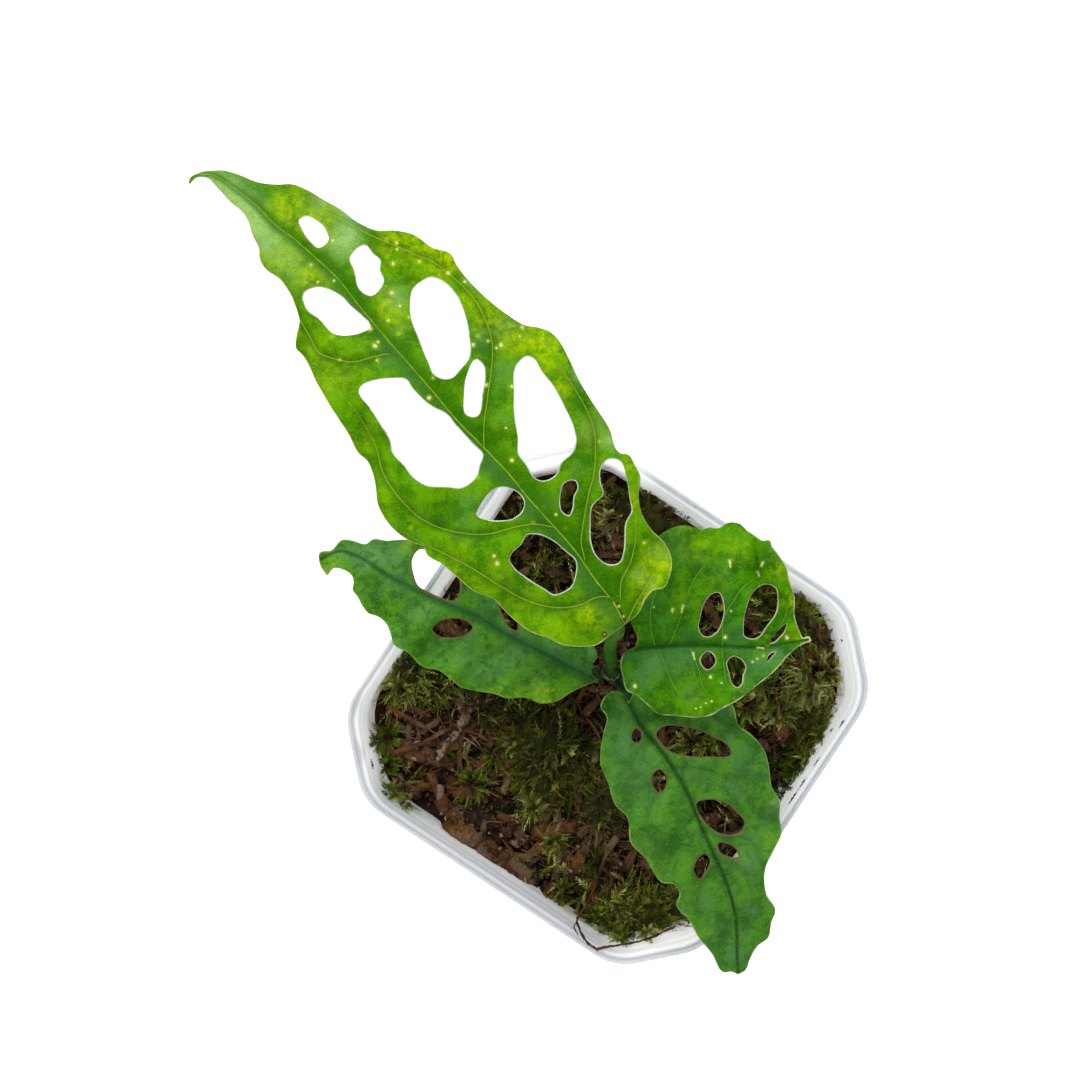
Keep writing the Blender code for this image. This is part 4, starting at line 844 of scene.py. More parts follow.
# %% The left leaf
left_leaf = Leaf(
    name="leaf_left",
    runs=(
        ((598, 680), (588, 684), (571, 692), (556, 701), (541, 703), (525, 697), (508, 698), (493, 693), (480, 691),
         (460, 686), (450, 678), (439, 670), (424, 667), (408, 652), (394, 644), (391, 634), (387, 624), (378, 616),
         (369, 613), (363, 606), (357, 595), (353, 590), (354, 583), (353, 577), (343, 569), (333, 568), (327, 575)),
        ((327, 575), (321, 566), (320, 553), (331, 551), (343, 540), (352, 541), (367, 544), (372, 540), (387, 541),
         (402, 540), (420, 541), (441, 546), (463, 557), (486, 571), (512, 588), (541, 605), (568, 622), (586, 636),
         (594, 647), (597, 656), (592, 665), (592, 675), (598, 680)),
    ),
    holes=(
        ((419, 549), (412, 558), (413, 574), (418, 586), (430, 593), (447, 600), (455, 601), (460, 592), (459, 577),
         (449, 563), (434, 553)),
        ((432, 630), (440, 621), (453, 618), (467, 621), (473, 627), (466, 635), (452, 638), (438, 636)),
        ((499, 603), (503, 616), (510, 628), (517, 631), (518, 621), (511, 608)),
    ),
    midrib=(
        (598, 680), (571, 667), (538, 650), (506, 634), (478, 617), (452, 606), (419, 591), (387, 575), (361, 558),
        (339, 551), (326, 556),
    ),
    veins=(
        ((560, 661), (545, 668), (528, 682), (512, 690)), ((520, 641), (500, 650), (478, 668), (466, 680)),
        ((478, 617), (455, 644), (440, 655), (420, 655)), ((430, 597), (405, 610), (392, 625)),
        ((545, 653), (540, 636), (525, 620), (508, 596)), ((500, 631), (486, 608), (476, 590), (460, 566)),
        ((400, 582), (392, 566), (385, 552), (368, 548)), ((385, 574), (370, 580), (360, 588)),
    ),
    ridge=(96.5, 99.5, 101.5, 102, 101, 98.5, 95), fold=(0.3, 0.22), tilt=0.06, droop=1.6, ripple=(0.9, 5.0),
    swells=((322, 563, 14, -4.0), (480, 690, 24, -1.0), (395, 642, 14, 0.8)),
    stalk=((596, 676, 89), (597, 680, 93.5)), quilt=0.85,
    yellowed_and_lit=((535, 696, 16, 0.8), (552, 696, 12, 0.6), (500, 692, 14, 0.45), (410, 548, 10, 0.6), (335, 560, 10, 0.4),
          (327, 566, 8, 0.6), (575, 686, 12, 0.3)),
    painted_reflections=((556, 640, 18, 0.7), (530, 620, 18, 0.7), (500, 606, 18, 0.7), (480, 590, 14, 0.6), (585, 652, 14, 0.9),
          (470, 640, 14, 0.5), (430, 606, 14, 0.5), (400, 580, 16, 0.7), (376, 556, 16, 0.8), (500, 668, 18, 0.5),
          (540, 676, 14, 0.4), (360, 548, 14, 0.6), (440, 655, 14, 0.4), (398, 552, 14, 0.5)),
    pale=((396, 560, 14, 0.6), (370, 556, 14, 0.6), (345, 550, 10, 0.5), (480, 668, 14, 0.4), (460, 660, 14, 0.35),
          (420, 612, 14, 0.4), (508, 600, 8, 0.5), (591, 652, 6, 1.0), (586, 646, 5, 0.8), (515, 648, 18, 0.5),
          (400, 640, 12, 0.3), (550, 640, 14, 0.4)),
    shaded=((500, 652, 10, 0.5), (470, 636, 9, 0.5), (486, 646, 6, 0.6), (452, 640, 6, 0.4), (540, 665, 8, 0.5),
            (520, 590, 10, 0.4), (412, 600, 9, 0.5), (392, 590, 8, 0.5), (430, 545, 10, 0.3), (380, 600, 10, 0.3),
            (560, 678, 10, 0.4), (455, 606, 10, 0.5)),
    specks=((450, 640, 60, 0.03), (540, 690, 14, 0.3)),
)

# %% The right leaf
right_leaf = Leaf(
    name="leaf_right",
    runs=(
        ((634, 650), (624, 654), (621, 662), (623, 676), (628, 691), (635, 694), (646, 703), (660, 714), (673, 715),
         (683, 716), (696, 717), (713, 714), (721, 709), (739, 699), (754, 687), (776, 669), (789, 654), (802, 644),
         (811, 641)),
        ((811, 641), (809, 637), (803, 638), (799, 631), (794, 616), (794, 596), (789, 580), (786, 568), (779, 556),
         (771, 545), (770, 541), (762, 541), (756, 537), (747, 531), (739, 524), (729, 523), (718, 529), (709, 528),
         (703, 530), (694, 528), (686, 526), (671, 529), (661, 535), (647, 549), (636, 567), (629, 588), (628, 606),
         (632, 624), (638, 638), (634, 650)),
    ),
    holes=(
        ((718, 592), (724, 606), (723, 619), (716, 633), (709, 637), (703, 636), (699, 631), (700, 616), (704, 603),
         (711, 594)),
        ((769, 584), (776, 588), (778, 598), (776, 613), (767, 626), (757, 638), (751, 639), (744, 636), (743, 628),
         (746, 608), (752, 593), (761, 585)),
        ((787, 623), (785, 631), (779, 638), (773, 643), (769, 643), (770, 639), (779, 629)),
        ((707, 651), (713, 654), (716, 661), (713, 667), (707, 670), (703, 667), (700, 661), (703, 654)),
        ((733, 656), (741, 659), (746, 667), (743, 676), (742, 684), (737, 688), (732, 684), (729, 674), (727, 661)),
        ((776, 652), (772, 657), (767, 662), (767, 657), (771, 653)),
    ),
    midrib=((634, 650), (650, 648), (680, 646), (713, 646), (746, 648), (771, 647), (790, 643), (811, 639)),
    veins=(
        ((671, 642), (680, 619), (684, 607), (690, 590), (698, 573), (710, 559), (722, 548)),
        ((722, 643), (725, 614), (732, 603), (743, 587), (758, 577), (773, 578), (781, 588)),
        ((768, 646), (778, 630), (786, 612), (788, 596)),
        ((655, 646), (650, 620), (654, 596), (664, 574), (676, 556)),
        ((690, 648), (698, 668), (704, 688), (716, 702)), ((660, 650), (668, 672), (678, 692), (690, 706)),
        ((722, 650), (724, 668), (728, 686), (742, 692)),
    ),
    ridge=(115.5, 116.5, 117, 116.5, 115, 112.5, 111), fold=(0.16, 0.62), tilt=0.05, droop=2.0, ripple=(0.5, 3.5),
    swells=((775, 545, 14, 1.6), (625, 670, 16, -1.2), (811, 639, 8, 1.6), (640, 560, 26, -2.0)),
    stalk=((625.5, 671, 93), (628.5, 662, 102), (631, 653, 111)), quilt=0.7,
    yellowed_and_lit=((700, 545, 24, 0.5), (740, 545, 20, 0.5), (780, 570, 12, 0.8), (792, 600, 10, 0.9), (800, 633, 10, 1.0),
          (684, 600, 16, 0.35), (660, 700, 14, 0.2), (700, 708, 16, 0.3), (740, 694, 12, 0.4),
          (638, 572, 12, 0.4), (716, 580, 12, 0.3), (690, 690, 14, 0.2)),
    painted_reflections=((660, 628, 20, 0.2), (690, 634, 12, 0.6), (730, 634, 14, 0.8), (728, 600, 12, 0.6), (664, 552, 16, 0.6),
          (646, 600, 12, 0.5), (720, 570, 12, 0.5), (700, 560, 10, 0.4), (768, 556, 10, 0.4), (690, 600, 8, 0.4),
          (744, 634, 10, 0.7), (700, 668, 9, 0.4), (690, 690, 10, 0.4), (664, 600, 10, 0.4)),
    pale=((650, 664, 14, 0.8), (672, 660, 14, 0.7), (640, 680, 12, 0.5), (690, 655, 10, 0.5), (758, 664, 12, 0.8),
          (776, 656, 9, 0.9), (742, 680, 9, 0.6), (664, 620, 8, 0.3), (690, 694, 10, 0.4), (735, 648, 8, 0.4)),
    shaded=((655, 606, 12, 0.5), (660, 640, 10, 0.7), (690, 641, 9, 0.7), (640, 610, 10, 0.4), (716, 641, 8, 0.7),
            (750, 644, 7, 0.5), (650, 580, 12, 0.3), (738, 568, 9, 0.4), (700, 610, 7, 0.4), (762, 570, 8, 0.4),
            (668, 680, 16, 0.3), (700, 690, 14, 0.35), (720, 560, 8, 0.3)),
    specks=((765, 655, 12, 0.7), (706, 700, 24, 0.15)),
    rimmed=((790, 560, 26, 0.7), (800, 600, 26, 0.9), (811, 640, 18, 1.0), (790, 660, 20, 1.0), (766, 680, 24, 1.0),
            (738, 702, 24, 1.0), (706, 716, 24, 0.9), (676, 716, 20, 0.7), (645, 704, 18, 0.6), (626, 684, 14, 0.5),
            (622, 660, 10, 0.5), (634, 640, 10, 0.4), (640, 560, 20, 0.2)),
)

# %% The front leaf
front_leaf = Leaf(
    name="leaf_front",
    runs=(
        ((629, 703), (625, 697), (616, 691), (607, 695), (601, 708), (607, 716), (604, 733), (601, 751), (601, 764),
         (608, 781), (616, 805), (627, 816), (632, 844), (645, 857), (653, 870), (662, 882), (675, 884), (680, 892),
         (677, 905), (688, 918), (699, 937), (712, 953), (725, 972), (731, 971), (738, 974)),
        ((738, 974), (745, 970), (749, 960), (757, 946), (768, 937), (771, 922), (775, 911), (766, 894), (765, 868),
         (774, 849), (781, 833), (779, 818), (779, 801), (771, 786), (769, 771), (764, 751), (751, 735), (738, 725),
         (733, 707), (718, 692), (697, 682), (672, 678), (648, 682), (635, 691), (629, 703)),
    ),
    holes=(
        ((656, 734), (662, 727), (677, 725), (694, 728), (712, 736), (729, 747), (731, 753), (707, 757), (686, 756),
         (671, 752), (661, 743)),
        ((636, 728), (641, 732), (641, 740), (637, 743), (632, 740), (632, 733)),
        ((659, 769), (666, 775), (666, 786), (660, 793), (653, 787), (652, 776)),
        ((696, 803), (710, 799), (725, 802), (738, 813), (745, 823), (741, 831), (721, 834), (712, 829), (701, 817)),
        ((718, 843), (727, 843), (737, 850), (739, 857), (729, 857), (719, 851)),
        ((705, 853), (710, 859), (707, 870), (699, 879), (694, 874), (696, 861)),
    ),
    midrib=(
        (629, 703), (634, 712), (642, 727), (658, 747), (673, 768), (690, 799), (703, 831), (716, 859), (729, 890),
        (736, 920), (737, 953), (738, 972),
    ),
    veins=(
        ((673, 768), (694, 768), (718, 774), (738, 786), (752, 804), (760, 826)),
        ((703, 831), (724, 838), (744, 838), (758, 850), (762, 872)),
        ((642, 727), (656, 714), (680, 708), (704, 714), (728, 728), (746, 746)),
        ((716, 859), (736, 866), (750, 884), (758, 908)), ((650, 738), (640, 748), (632, 764), (622, 784)),
        ((673, 768), (656, 796), (646, 820), (644, 842)), ((697, 815), (680, 832), (672, 852), (672, 872)),
        ((718, 864), (702, 884), (698, 904), (702, 922)), ((732, 905), (744, 918), (750, 934)),
        ((735, 915), (724, 932), (722, 950)),
    ),
    ridge=(101.5, 105, 106.5, 106, 104, 101, 97), fold=(0.2, 0.25), tilt=0.04, droop=2.2, ripple=(0.8, 4.5),
    swells=((612, 700, 14, -1.4), (680, 890, 16, 0.8), (771, 900, 16, -1.0), (690, 684, 22, -2.5)),
    stalk=((624, 692, 90.5), (628, 700, 96.5)), quilt=0.95,
    yellowed_and_lit=((776, 800, 8, 0.6), (776, 836, 10, 0.4), (650, 860, 10, 0.3), (700, 934, 12, 0.3), (764, 850, 14, 0.25),
          (730, 700, 14, 0.25), (700, 790, 14, 0.2)),
    painted_reflections=((636, 768, 20, 0.6), (624, 740, 16, 0.6), (735, 790, 9, 0.5), (752, 838, 7, 1.0), (764, 824, 5, 1.0),
          (730, 712, 10, 0.7), (738, 762, 10, 0.5), (700, 700, 16, 0.5), (706, 902, 8, 0.7), (752, 908, 5, 1.0),
          (746, 934, 6, 0.6), (754, 866, 6, 0.7), (648, 800, 14, 0.4), (744, 750, 5, 0.8), (726, 742, 5, 0.5),
          (700, 776, 12, 0.3), (680, 712, 12, 0.4), (620, 715, 10, 0.4)),
    pale=((718, 930, 20, 0.12), (735, 955, 10, 0.4), (745, 862, 14, 0.35)),
    shaded=((744, 786, 9, 0.4), (734, 800, 8, 0.4), (640, 716, 7, 0.8), (668, 846, 10, 0.3), (746, 844, 5, 0.5),
            (742, 778, 4, 0.6), (750, 800, 4, 0.6), (764, 806, 4, 0.5), (757, 844, 4, 0.6), (762, 880, 5, 0.5)),
    specks=((645, 800, 60, 0.05), (764, 914, 8, 0.8)),
)

# %% [markdown]
# ## Stalks
# Each blade stands on a leaf stalk that flares where it clasps the stem and runs on under the midrib as a raised rib,
# thinning out towards the tip. That rib is what one sees from below, and it is what stiffens the leaf. It is a round
# profile carried along the stalk's route and then along the midrib, sunk a little into the blade.

# %% Where the stalks start
STEM_FOOT = (607.0, 672.0, 62 * MM)
STEM_TOP = (612.0, 671.0, 90 * MM)
STEM_RADIUS = 2.2 * MM
GAP = 0.3 * MM
RIB_STEPS = 40


def stem_place(height):
    """The middle of the stem at a height: its foot + (top - foot) * share."""
    foot, top = seen(*STEM_FOOT), seen(*STEM_TOP)
    return foot + (top - foot) * ((height - foot[2]) / (top[2] - foot[2]))


def clasp(height, turn):
    """Two places beside the stem, one just off it and one further out; turn is in degrees from the picture's right."""
    angle = math.radians(turn) + VIEW_TURN
    out = np.array((math.cos(angle), math.sin(angle), 0))
    return stem_place(height) + out * (STEM_RADIUS + GAP), stem_place(height) + out * (STEM_RADIUS + 1.5 * MM)


stem_rise = unit(seen(*STEM_TOP) - seen(*STEM_FOOT))
# Each stalk's first two places, its base radius and its top radius
STALK_FEET = {
    "leaf_long": ((seen(*STEM_TOP) + stem_rise * GAP, seen(*STEM_TOP) + stem_rise * 3 * MM), 1.5 * MM, 1.25 * MM),
    "leaf_left": (clasp(83.8 * MM, 183), 1.0 * MM, 0.85 * MM),
    "leaf_right": (clasp(87.0 * MM, 4), 1.05 * MM, 0.9 * MM),
    "leaf_front": (clasp(85.4 * MM, -58), 1.05 * MM, 0.9 * MM),
}


def stalk_tube(leaf):
    """The stalk and the rib under the midrib as one closed tube.

    Its radius goes from a flare of 1.2 base radii to the base radius, then evenly to the top radius where the blade
    starts, and from there falls along the midrib as 0.12 + 0.66 (1 - share)^1.4 of the top radius.
    """
    (start, after), base_radius, top_radius = STALK_FEET[leaf.name]
    corners = [after] + [seen(u, v, height * MM) for u, v, height in leaf.stalk]
    rib_share = np.linspace(0.035, 0.985, RIB_STEPS)
    rib_pixels = leaf.rib[np.round(rib_share * (len(leaf.rib) - 1)).astype(int)]
    rib_radii = top_radius * (0.12 + 0.66 * (1 - rib_share) ** 1.4)
    under = leaf.place(rib_pixels, fine=True) - np.column_stack((np.zeros((RIB_STEPS, 2)), rib_radii + 0.05 * MM))
    path = np.concatenate(((start, (start + after) / 2), smooth_run(np.concatenate((corners, under)), 0.8 * MM)))
    far = travelled(path)
    marks = [np.linalg.norm(path - corner, axis=1).argmin() for corner in (corners[-1], *under)]
    known = (0, 5 * MM, *far[marks])
    radii = np.interp(far, known, (1.2 * base_radius, base_radius, top_radius, *rib_radii))
    return tubes(path[None], radii[None], 20, level=(0.31, 0.17, 0.93))


# %% The stalks' material
# Pinkish scars round the crown: pixel, height and radius in millimetres
CROWN_SCARS = (
    (603.0, 680.0, 88.5, 2.2), (599.5, 683.0, 86.0, 1.2), (617.0, 676.0, 90.0, 0.9), (612.0, 680.0, 90.5, 0.7),
    (614.5, 645.5, 111.0, 0.4), (618.5, 654.0, 104.0, 0.35),
)


def spots_at(rows):
    """Rows of pixel, height and radius in millimetres as places and radii in metres."""
    return [(*map(float, seen(u, v, height * MM)), radius * MM) for u, v, height, radius in rows]


def scar_coat(at):
    """The coat of pinkish scars that the stalks and the stem share."""
    return at.shaken(0.6 * MM, 900.0).near_any(spots_at(CROWN_SCARS), 0.6) * 0.85, (0.52, 0.33, 0.28)


def stalk_paint(name, green, dark, highlight_grey):
    """Smooth green skin, darker towards the stem, with fine lengthwise streaks, some grey-blue as painted highlights.
    """
    paint, start = new_paint(name, Specular_IOR_Level=0.14)
    at = start.place()
    height = at.parts()[2] * (1 / MM)
    streak = at.noise(900.0, 3.0, 0.6, (1, 1, 0.12))
    colour = coated(
        height.above(86.0, 108.0).mixed(dark, green),
        # grey-blue streaks: painted highlights
        (streak.above(0.40, 0.66) * 0.55, highlight_grey),
        (at.noise(420.0, 3.0, 0.6).above(0.52, 0.64) * 0.6, tinted(dark, 0.5)),
        (at.noise(1500.0, 2.0).above(0.68, 0.74) * 0.7, (0.42, 0.40, 0.26)),
        scar_coat(at),
    )
    connect(paint, streak, 0.1 * MM, 0.5, Base_Color=colour, Roughness=0.38 + 0.2 * streak)
    return paint


# %% Make the blades and stalks
def gathered(pixels, places):
    """The sum of strength * exp(-distance^2 / radius^2) over places (u, v, radius, strength), kept under 1."""
    total = np.zeros(len(pixels))
    for u, v, radius, strength in places:
        total += strength * np.exp(-((pixels - (u, v)) ** 2).sum(axis=1) / radius**2)
    return np.minimum(total, 1)


def dashes(rows):
    """Elongated spots as rows of pixel and radius 0.9 px apart: each row is both ends' pixels and a radius."""
    spots = []
    for u0, v0, u1, v1, radius in rows:
        count = 2 + int(math.hypot(u1 - u0, v1 - v0) / 0.9)
        spots += [
            (u0 + (u1 - u0) * share, v0 + (v1 - v0) * share, radius * (1 - 0.3 * share))
            for share in np.linspace(0, 1, count).tolist()
        ]
    return spots


EDGE_STEP = 2.2


def make_leaf(leaf, paint, stalk_finish, inner_step):
    """One leaf's blade and stalk. The blade's points carry their distances in pixels for its material."""
    loops = leaf.loops(EDGE_STEP)
    pixels, faces = net(loops, inner_step)
    points, triangles, walls, source = closed_sheet(leaf.place(pixels, fine=True), faces, BLADE_THICKNESS, RIM_BULGE)
    along, across = leaf.along_and_across(pixels)
    to_edge = line_distance(pixels, ring_lines(loops[:1]))[0]
    to_hole = line_distance(pixels, ring_lines(loops[1:]))[0]
    near, signed, passed = line_distance(pixels, leaf.vein_lines())
    zones = leaf.yellowed_and_lit, leaf.painted_reflections, leaf.specks, leaf.pale, leaf.shaded, leaf.rimmed
    yellowed_and_lit, painted_reflections, specks, pale, shaded, rimmed = (gathered(pixels, rows) for rows in zones)
    triples = {
        "rib": (across, np.clip(along, 0, 1), np.minimum(to_edge, to_hole)),
        "vein": (signed, near, passed),
        "patch": (yellowed_and_lit, painted_reflections, to_hole < to_edge),
        "marks": (specks, pale, shaded),
    }
    attributes = {key: np.column_stack(values)[source] for key, values in triples.items()}
    attributes["rimmed"] = rimmed[source]
    add_piece(
        leaf.name + "_blade", points, (triangles, walls), paint, attributes, leaf.name,
        uv=pixels[source] / BLADE_UNIT,
    )
    stalk_points, *stalk_faces = stalk_tube(leaf)
    add_piece(leaf.name + "_stalk", stalk_points, stalk_faces, stalk_finish)


make_leaf(
    long_leaf,
    leaf_paint(
        "long_blade", deep=(0.046, 0.205, 0.0), bright=(0.165, 0.440, 0.0), yellow=(0.54, 0.72, 0.0),
        sheen=(0.105, 0.285, 0.060), highlight_tint=(0.41, 0.67, 0.20), left_groove=(0.030, 0.145, 0.020),
        right_groove=(0.026, 0.165, 0.0), thread=(0.42, 0.62, 0.02), vein=(0.46, 0.68, 0.06),
        rim=(0.74, 0.66, 0.20), hole_rim=(0.70, 0.74, 0.58),
        scars=((393, 264, 1.8), (397, 250, 1.3), (392, 293, 2.0), (400, 306, 1.3), (448, 273, 2.2), (465, 282, 1.4),
               (375, 346, 2.4), (340, 360, 1.3), (429, 398, 1.9), (501, 345, 2.2), (496, 348, 1.3), (486, 385, 1.8),
               (512, 387, 1.4), (512, 460, 2.0), (506, 428, 1.1), (556, 514, 1.3), (497, 563, 2.4), (494, 556, 1.5),
               (334, 281, 1.2), (318, 282, 1.1), (370, 329, 2.0), (378, 342, 1.4), (473, 345, 1.8), (604.5, 634, 0.7),
               (619, 606, 1.1), (623.4, 616, 1.0)),
        brown=(*dashes(((617.5, 603, 621, 612, 1.7), (621, 612, 625, 621.5, 1.6))), (604.5, 634, 3.2)),
        hole_rim_width=0.4, gloss=0.05, dapple=0.2, vein_strength=0.62, band_strength=0.55, groove_strength=0.75,
        groove_width=30.0, band_width=8.0,
    ),
    stalk_paint("long_stalk", (0.040, 0.165, 0.004), (0.014, 0.062, 0.001), (0.085, 0.20, 0.05)),
    2.7,
)
make_leaf(
    left_leaf,
    leaf_paint(
        "left_blade", deep=(0.030, 0.145, 0.006), bright=(0.105, 0.350, 0.010), yellow=(0.34, 0.60, 0.02),
        sheen=(0.080, 0.250, 0.070), highlight_tint=(0.18, 0.43, 0.12), left_groove=(0.030, 0.135, 0.036),
        right_groove=(0.034, 0.150, 0.050), thread=(0.055, 0.15, 0.11), vein=(0.13, 0.34, 0.09),
        rim=(0.26, 0.42, 0.06), hole_rim=(0.20, 0.135, 0.07), crease_shade=0.5, thread_strength=0.35, vein_strength=0.25,
        band_strength=0.2, groove_strength=0.75, groove_width=13.0, hole_rim_width=1.5, gloss=0.09, roughness=0.34,
        dapple=0.55,
    ),
    stalk_paint("left_stalk", (0.05, 0.14, 0.03), (0.03, 0.09, 0.02), (0.12, 0.18, 0.10)),
    2.8,
)
make_leaf(
    right_leaf,
    leaf_paint(
        "right_blade", deep=(0.018, 0.135, 0.0), bright=(0.090, 0.345, 0.0), yellow=(0.36, 0.62, 0.0),
        sheen=(0.045, 0.185, 0.030), highlight_tint=(0.115, 0.310, 0.085), left_groove=(0.012, 0.085, 0.002),
        right_groove=(0.070, 0.240, 0.050), thread=(0.16, 0.38, 0.05), vein=(0.22, 0.48, 0.03),
        rim=(0.68, 0.68, 0.34), hole_rim=(0.62, 0.58, 0.34),
        scars=(*dashes(((729.6, 561, 730.6, 567, 1.4), (763.6, 562, 762.0, 566, 1.3), (757.2, 572, 758.6, 576.5, 1.6),
                        (683.2, 606, 681.8, 612, 1.5), (673, 609.5, 672.6, 612, 1.4), (693, 653, 694.6, 659, 1.3),
                        (757, 647.4, 763, 648.4, 1.1))), (696, 708, 1.0), (701, 707, 0.9), (706, 703, 0.8),
               (725, 637, 1.8), (635, 686, 2.2), (787, 637, 2.2), (654, 607, 1.0), (731, 611, 1.0), (712, 701, 1.2),
               (752, 662, 1.0), (757, 659, 1.0)),
        brown=((811, 639, 3.0), (805, 645, 1.0), (807, 636, 1.0)), crease_shade=0.75, thread_strength=0.1, vein_strength=0.7,
        band_strength=0.25, groove_strength=0.85, groove_width=11.0, rim_width=1.0, hole_rim_width=0.4, gloss=0.06,
    ),
    stalk_paint("right_stalk", (0.06, 0.20, 0.03), (0.035, 0.12, 0.02), (0.14, 0.22, 0.12)),
    2.6,
)
make_leaf(
    front_leaf,
    leaf_paint(
        "front_blade", deep=(0.032, 0.145, 0.014), bright=(0.095, 0.300, 0.018), yellow=(0.22, 0.52, 0.01),
        sheen=(0.092, 0.250, 0.075), highlight_tint=(0.16, 0.36, 0.13), left_groove=(0.014, 0.090, 0.010),
        right_groove=(0.026, 0.125, 0.020), thread=(0.02, 0.10, 0.02), vein=(0.12, 0.31, 0.07),
        rim=(0.30, 0.44, 0.08), hole_rim=(0.17, 0.12, 0.06), crease_shade=0.9, thread_strength=0.2, vein_strength=0.1,
        band_strength=0.25, groove_strength=0.7, groove_width=8.0, hole_rim_width=1.3, rim_width=0.9, gloss=0.1,
        roughness=0.26, dapple=0.4,
    ),
    stalk_paint("front_stalk", (0.04, 0.14, 0.03), (0.025, 0.09, 0.02), (0.11, 0.19, 0.10)),
    2.6,
)


# %% [markdown]
# ## The stem
# Between the stalks only a short piece of stem shows: olive green, ringed where old leaves have dropped, with the dry
# brown scraps of the sheaths that once wrapped them. A turned profile along the leaning stem gives the rings, and the
# scraps are small curled sheets that stand on it.

# %% The stem and its sheath scraps
STEM_LEVELS = (
    (62.0, 0.62), (65.0, 0.92), (72.0, 0.96), (77.0, 0.92), (79.6, 0.90), (80.5, 0.93), (80.9, 1.02), (81.3, 1.02),
    (81.7, 0.93), (82.6, 0.90), (83.4, 0.92), (83.8, 0.99), (84.2, 0.92), (86.2, 0.90), (86.8, 0.97), (87.2, 0.90),
    (88.3, 0.90), (88.9, 0.99), (89.4, 0.97), (89.8, 0.88), (90.0, 0.60),
)
levels = smooth_run(STEM_LEVELS, 0.3)
stem_path = np.array([stem_place(height * MM) for height in levels[:, 0]])
stem_radii = levels[:, 1] * STEM_RADIUS
stem_points, stem_walls, stem_caps = tubes(stem_path[None], stem_radii[None], 40)
stem_middle = np.stack([np.interp(stem_points[:, 2], stem_path[:, 2], stem_path[:, axis]) for axis in (0, 1)], axis=1)
bump = 0.05 * MM * waves(stem_points, 1.6 * MM, 31)
stem_points[:, :2] += (stem_points[:, :2] - stem_middle) * (bump / STEM_RADIUS)[:, None]

stem_finish, start = new_paint("stem_skin", Specular_IOR_Level=0.2)
at = start.place()
height = at.parts()[2] * (1 / MM)
streaks = at.noise(1400.0, 3.0, 0.6, (1, 1, 0.15))
rings_of_scars = (abs(height - 81.1).above(0.75, 0.35)).most(abs(height - 89.0).above(0.6, 0.25))
colour = coated(
    at.noise(500.0, 3.0).above(0.42, 0.62).mixed((0.035, 0.10, 0.018), (0.10, 0.17, 0.05)),
    (rings_of_scars * 0.8, (0.30, 0.22, 0.14)),
    (streaks.above(0.5, 0.68) * 0.6, (0.16, 0.11, 0.06)),
    scar_coat(at),
)
connect(stem_finish, streaks, 0.15 * MM, 0.8, Base_Color=colour, Roughness=0.5 + 0.25 * streaks)
add_piece("stem_ringed", stem_points, (stem_walls, stem_caps), stem_finish, node="stem")


def curled_sheets(roots, directions, lengths, widths, curls, rows=9, columns=7):
    """Thin sheets that stand on their roots: at the share t of its length a sheet is at
    root + direction * t * length, its width falls as (1 - t)^0.7, and its sides roll up as curl * across^2."""
    t = np.linspace(0, 1, rows)[None, :, None]
    s = np.linspace(-1, 1, columns)[None, None, :]
    forward = unit(directions)
    side = unit(np.cross(forward, (0, 0, 1.0)))
    out = np.cross(side, forward)
    grow = lengths[:, None, None] * t
    spread = widths[:, None, None] * np.maximum(1 - t, 0.02) ** 0.7 * s / 2
    roll = curls[:, None, None] * widths[:, None, None] * (s**2 * (1 - 0.6 * t) + 0.5 * t**2)
    middle = (
        roots[:, None, None] + grow[..., None] * forward[:, None, None]
        + spread[..., None] * side[:, None, None] + roll[..., None] * out[:, None, None]
    )
    faces = grid_faces(rows, columns, around=False)
    faces = np.concatenate((faces[:, :3], faces[:, (0, 2, 3)]))
    offsets = (np.arange(len(roots)) * rows * columns)[:, None, None]
    return middle.reshape(-1, 3), (faces + offsets).reshape(-1, 3)


# Scraps of old sheath: pixel and height of the root, the way up leans (right, up, height), length, width, curl
SCRAPS = (
    (603.0, 662.0, 84.5, (-0.25, 0.35, 1.0), 5.2, 2.0, 0.30),
    (616.5, 664.0, 88.0, (0.12, 0.25, 1.0), 6.5, 1.3, 0.25),
    (603.5, 684.0, 82.5, (-0.7, -0.5, 0.8), 3.2, 2.2, 0.35),
    (618.5, 680.0, 83.0, (0.8, -0.3, 0.7), 3.0, 1.8, 0.30),
    (598.5, 670.0, 81.0, (-0.9, 0.1, 0.6), 3.4, 2.2, -0.25),
)
scrap_roots = np.array([seen(u, v, height * MM) for u, v, height, *_ in SCRAPS])
scrap_ways = np.array([(*turned(right, up), rise) for *_, (right, up, rise), _, _, _ in SCRAPS])
scrap_sizes = np.array([row[-3:] for row in SCRAPS])
scrap_middle, scrap_faces = curled_sheets(
    scrap_roots, scrap_ways, scrap_sizes[:, 0] * MM, scrap_sizes[:, 1] * MM, scrap_sizes[:, 2]
)
scrap_middle += wobble(scrap_middle, 0.12 * MM, 2.2 * MM, 41)
scrap_points, scrap_triangles, scrap_walls, _ = closed_sheet(scrap_middle, scrap_faces, 0.14 * MM, 0.04 * MM)
scrap_finish, start = new_paint("dry_sheath")
grain = start.place().noise(1600.0, 3.0, 0.6, (1, 1, 0.2))
colour = grain.above(0.38, 0.62).mixed((0.22, 0.10, 0.045), (0.52, 0.33, 0.20))
connect(scrap_finish, grain, 0.1 * MM, 0.8, Base_Color=colour, Roughness=0.6 + 0.2 * grain)
add_piece("sheath_scraps", scrap_points, (scrap_triangles, scrap_walls), scrap_finish)

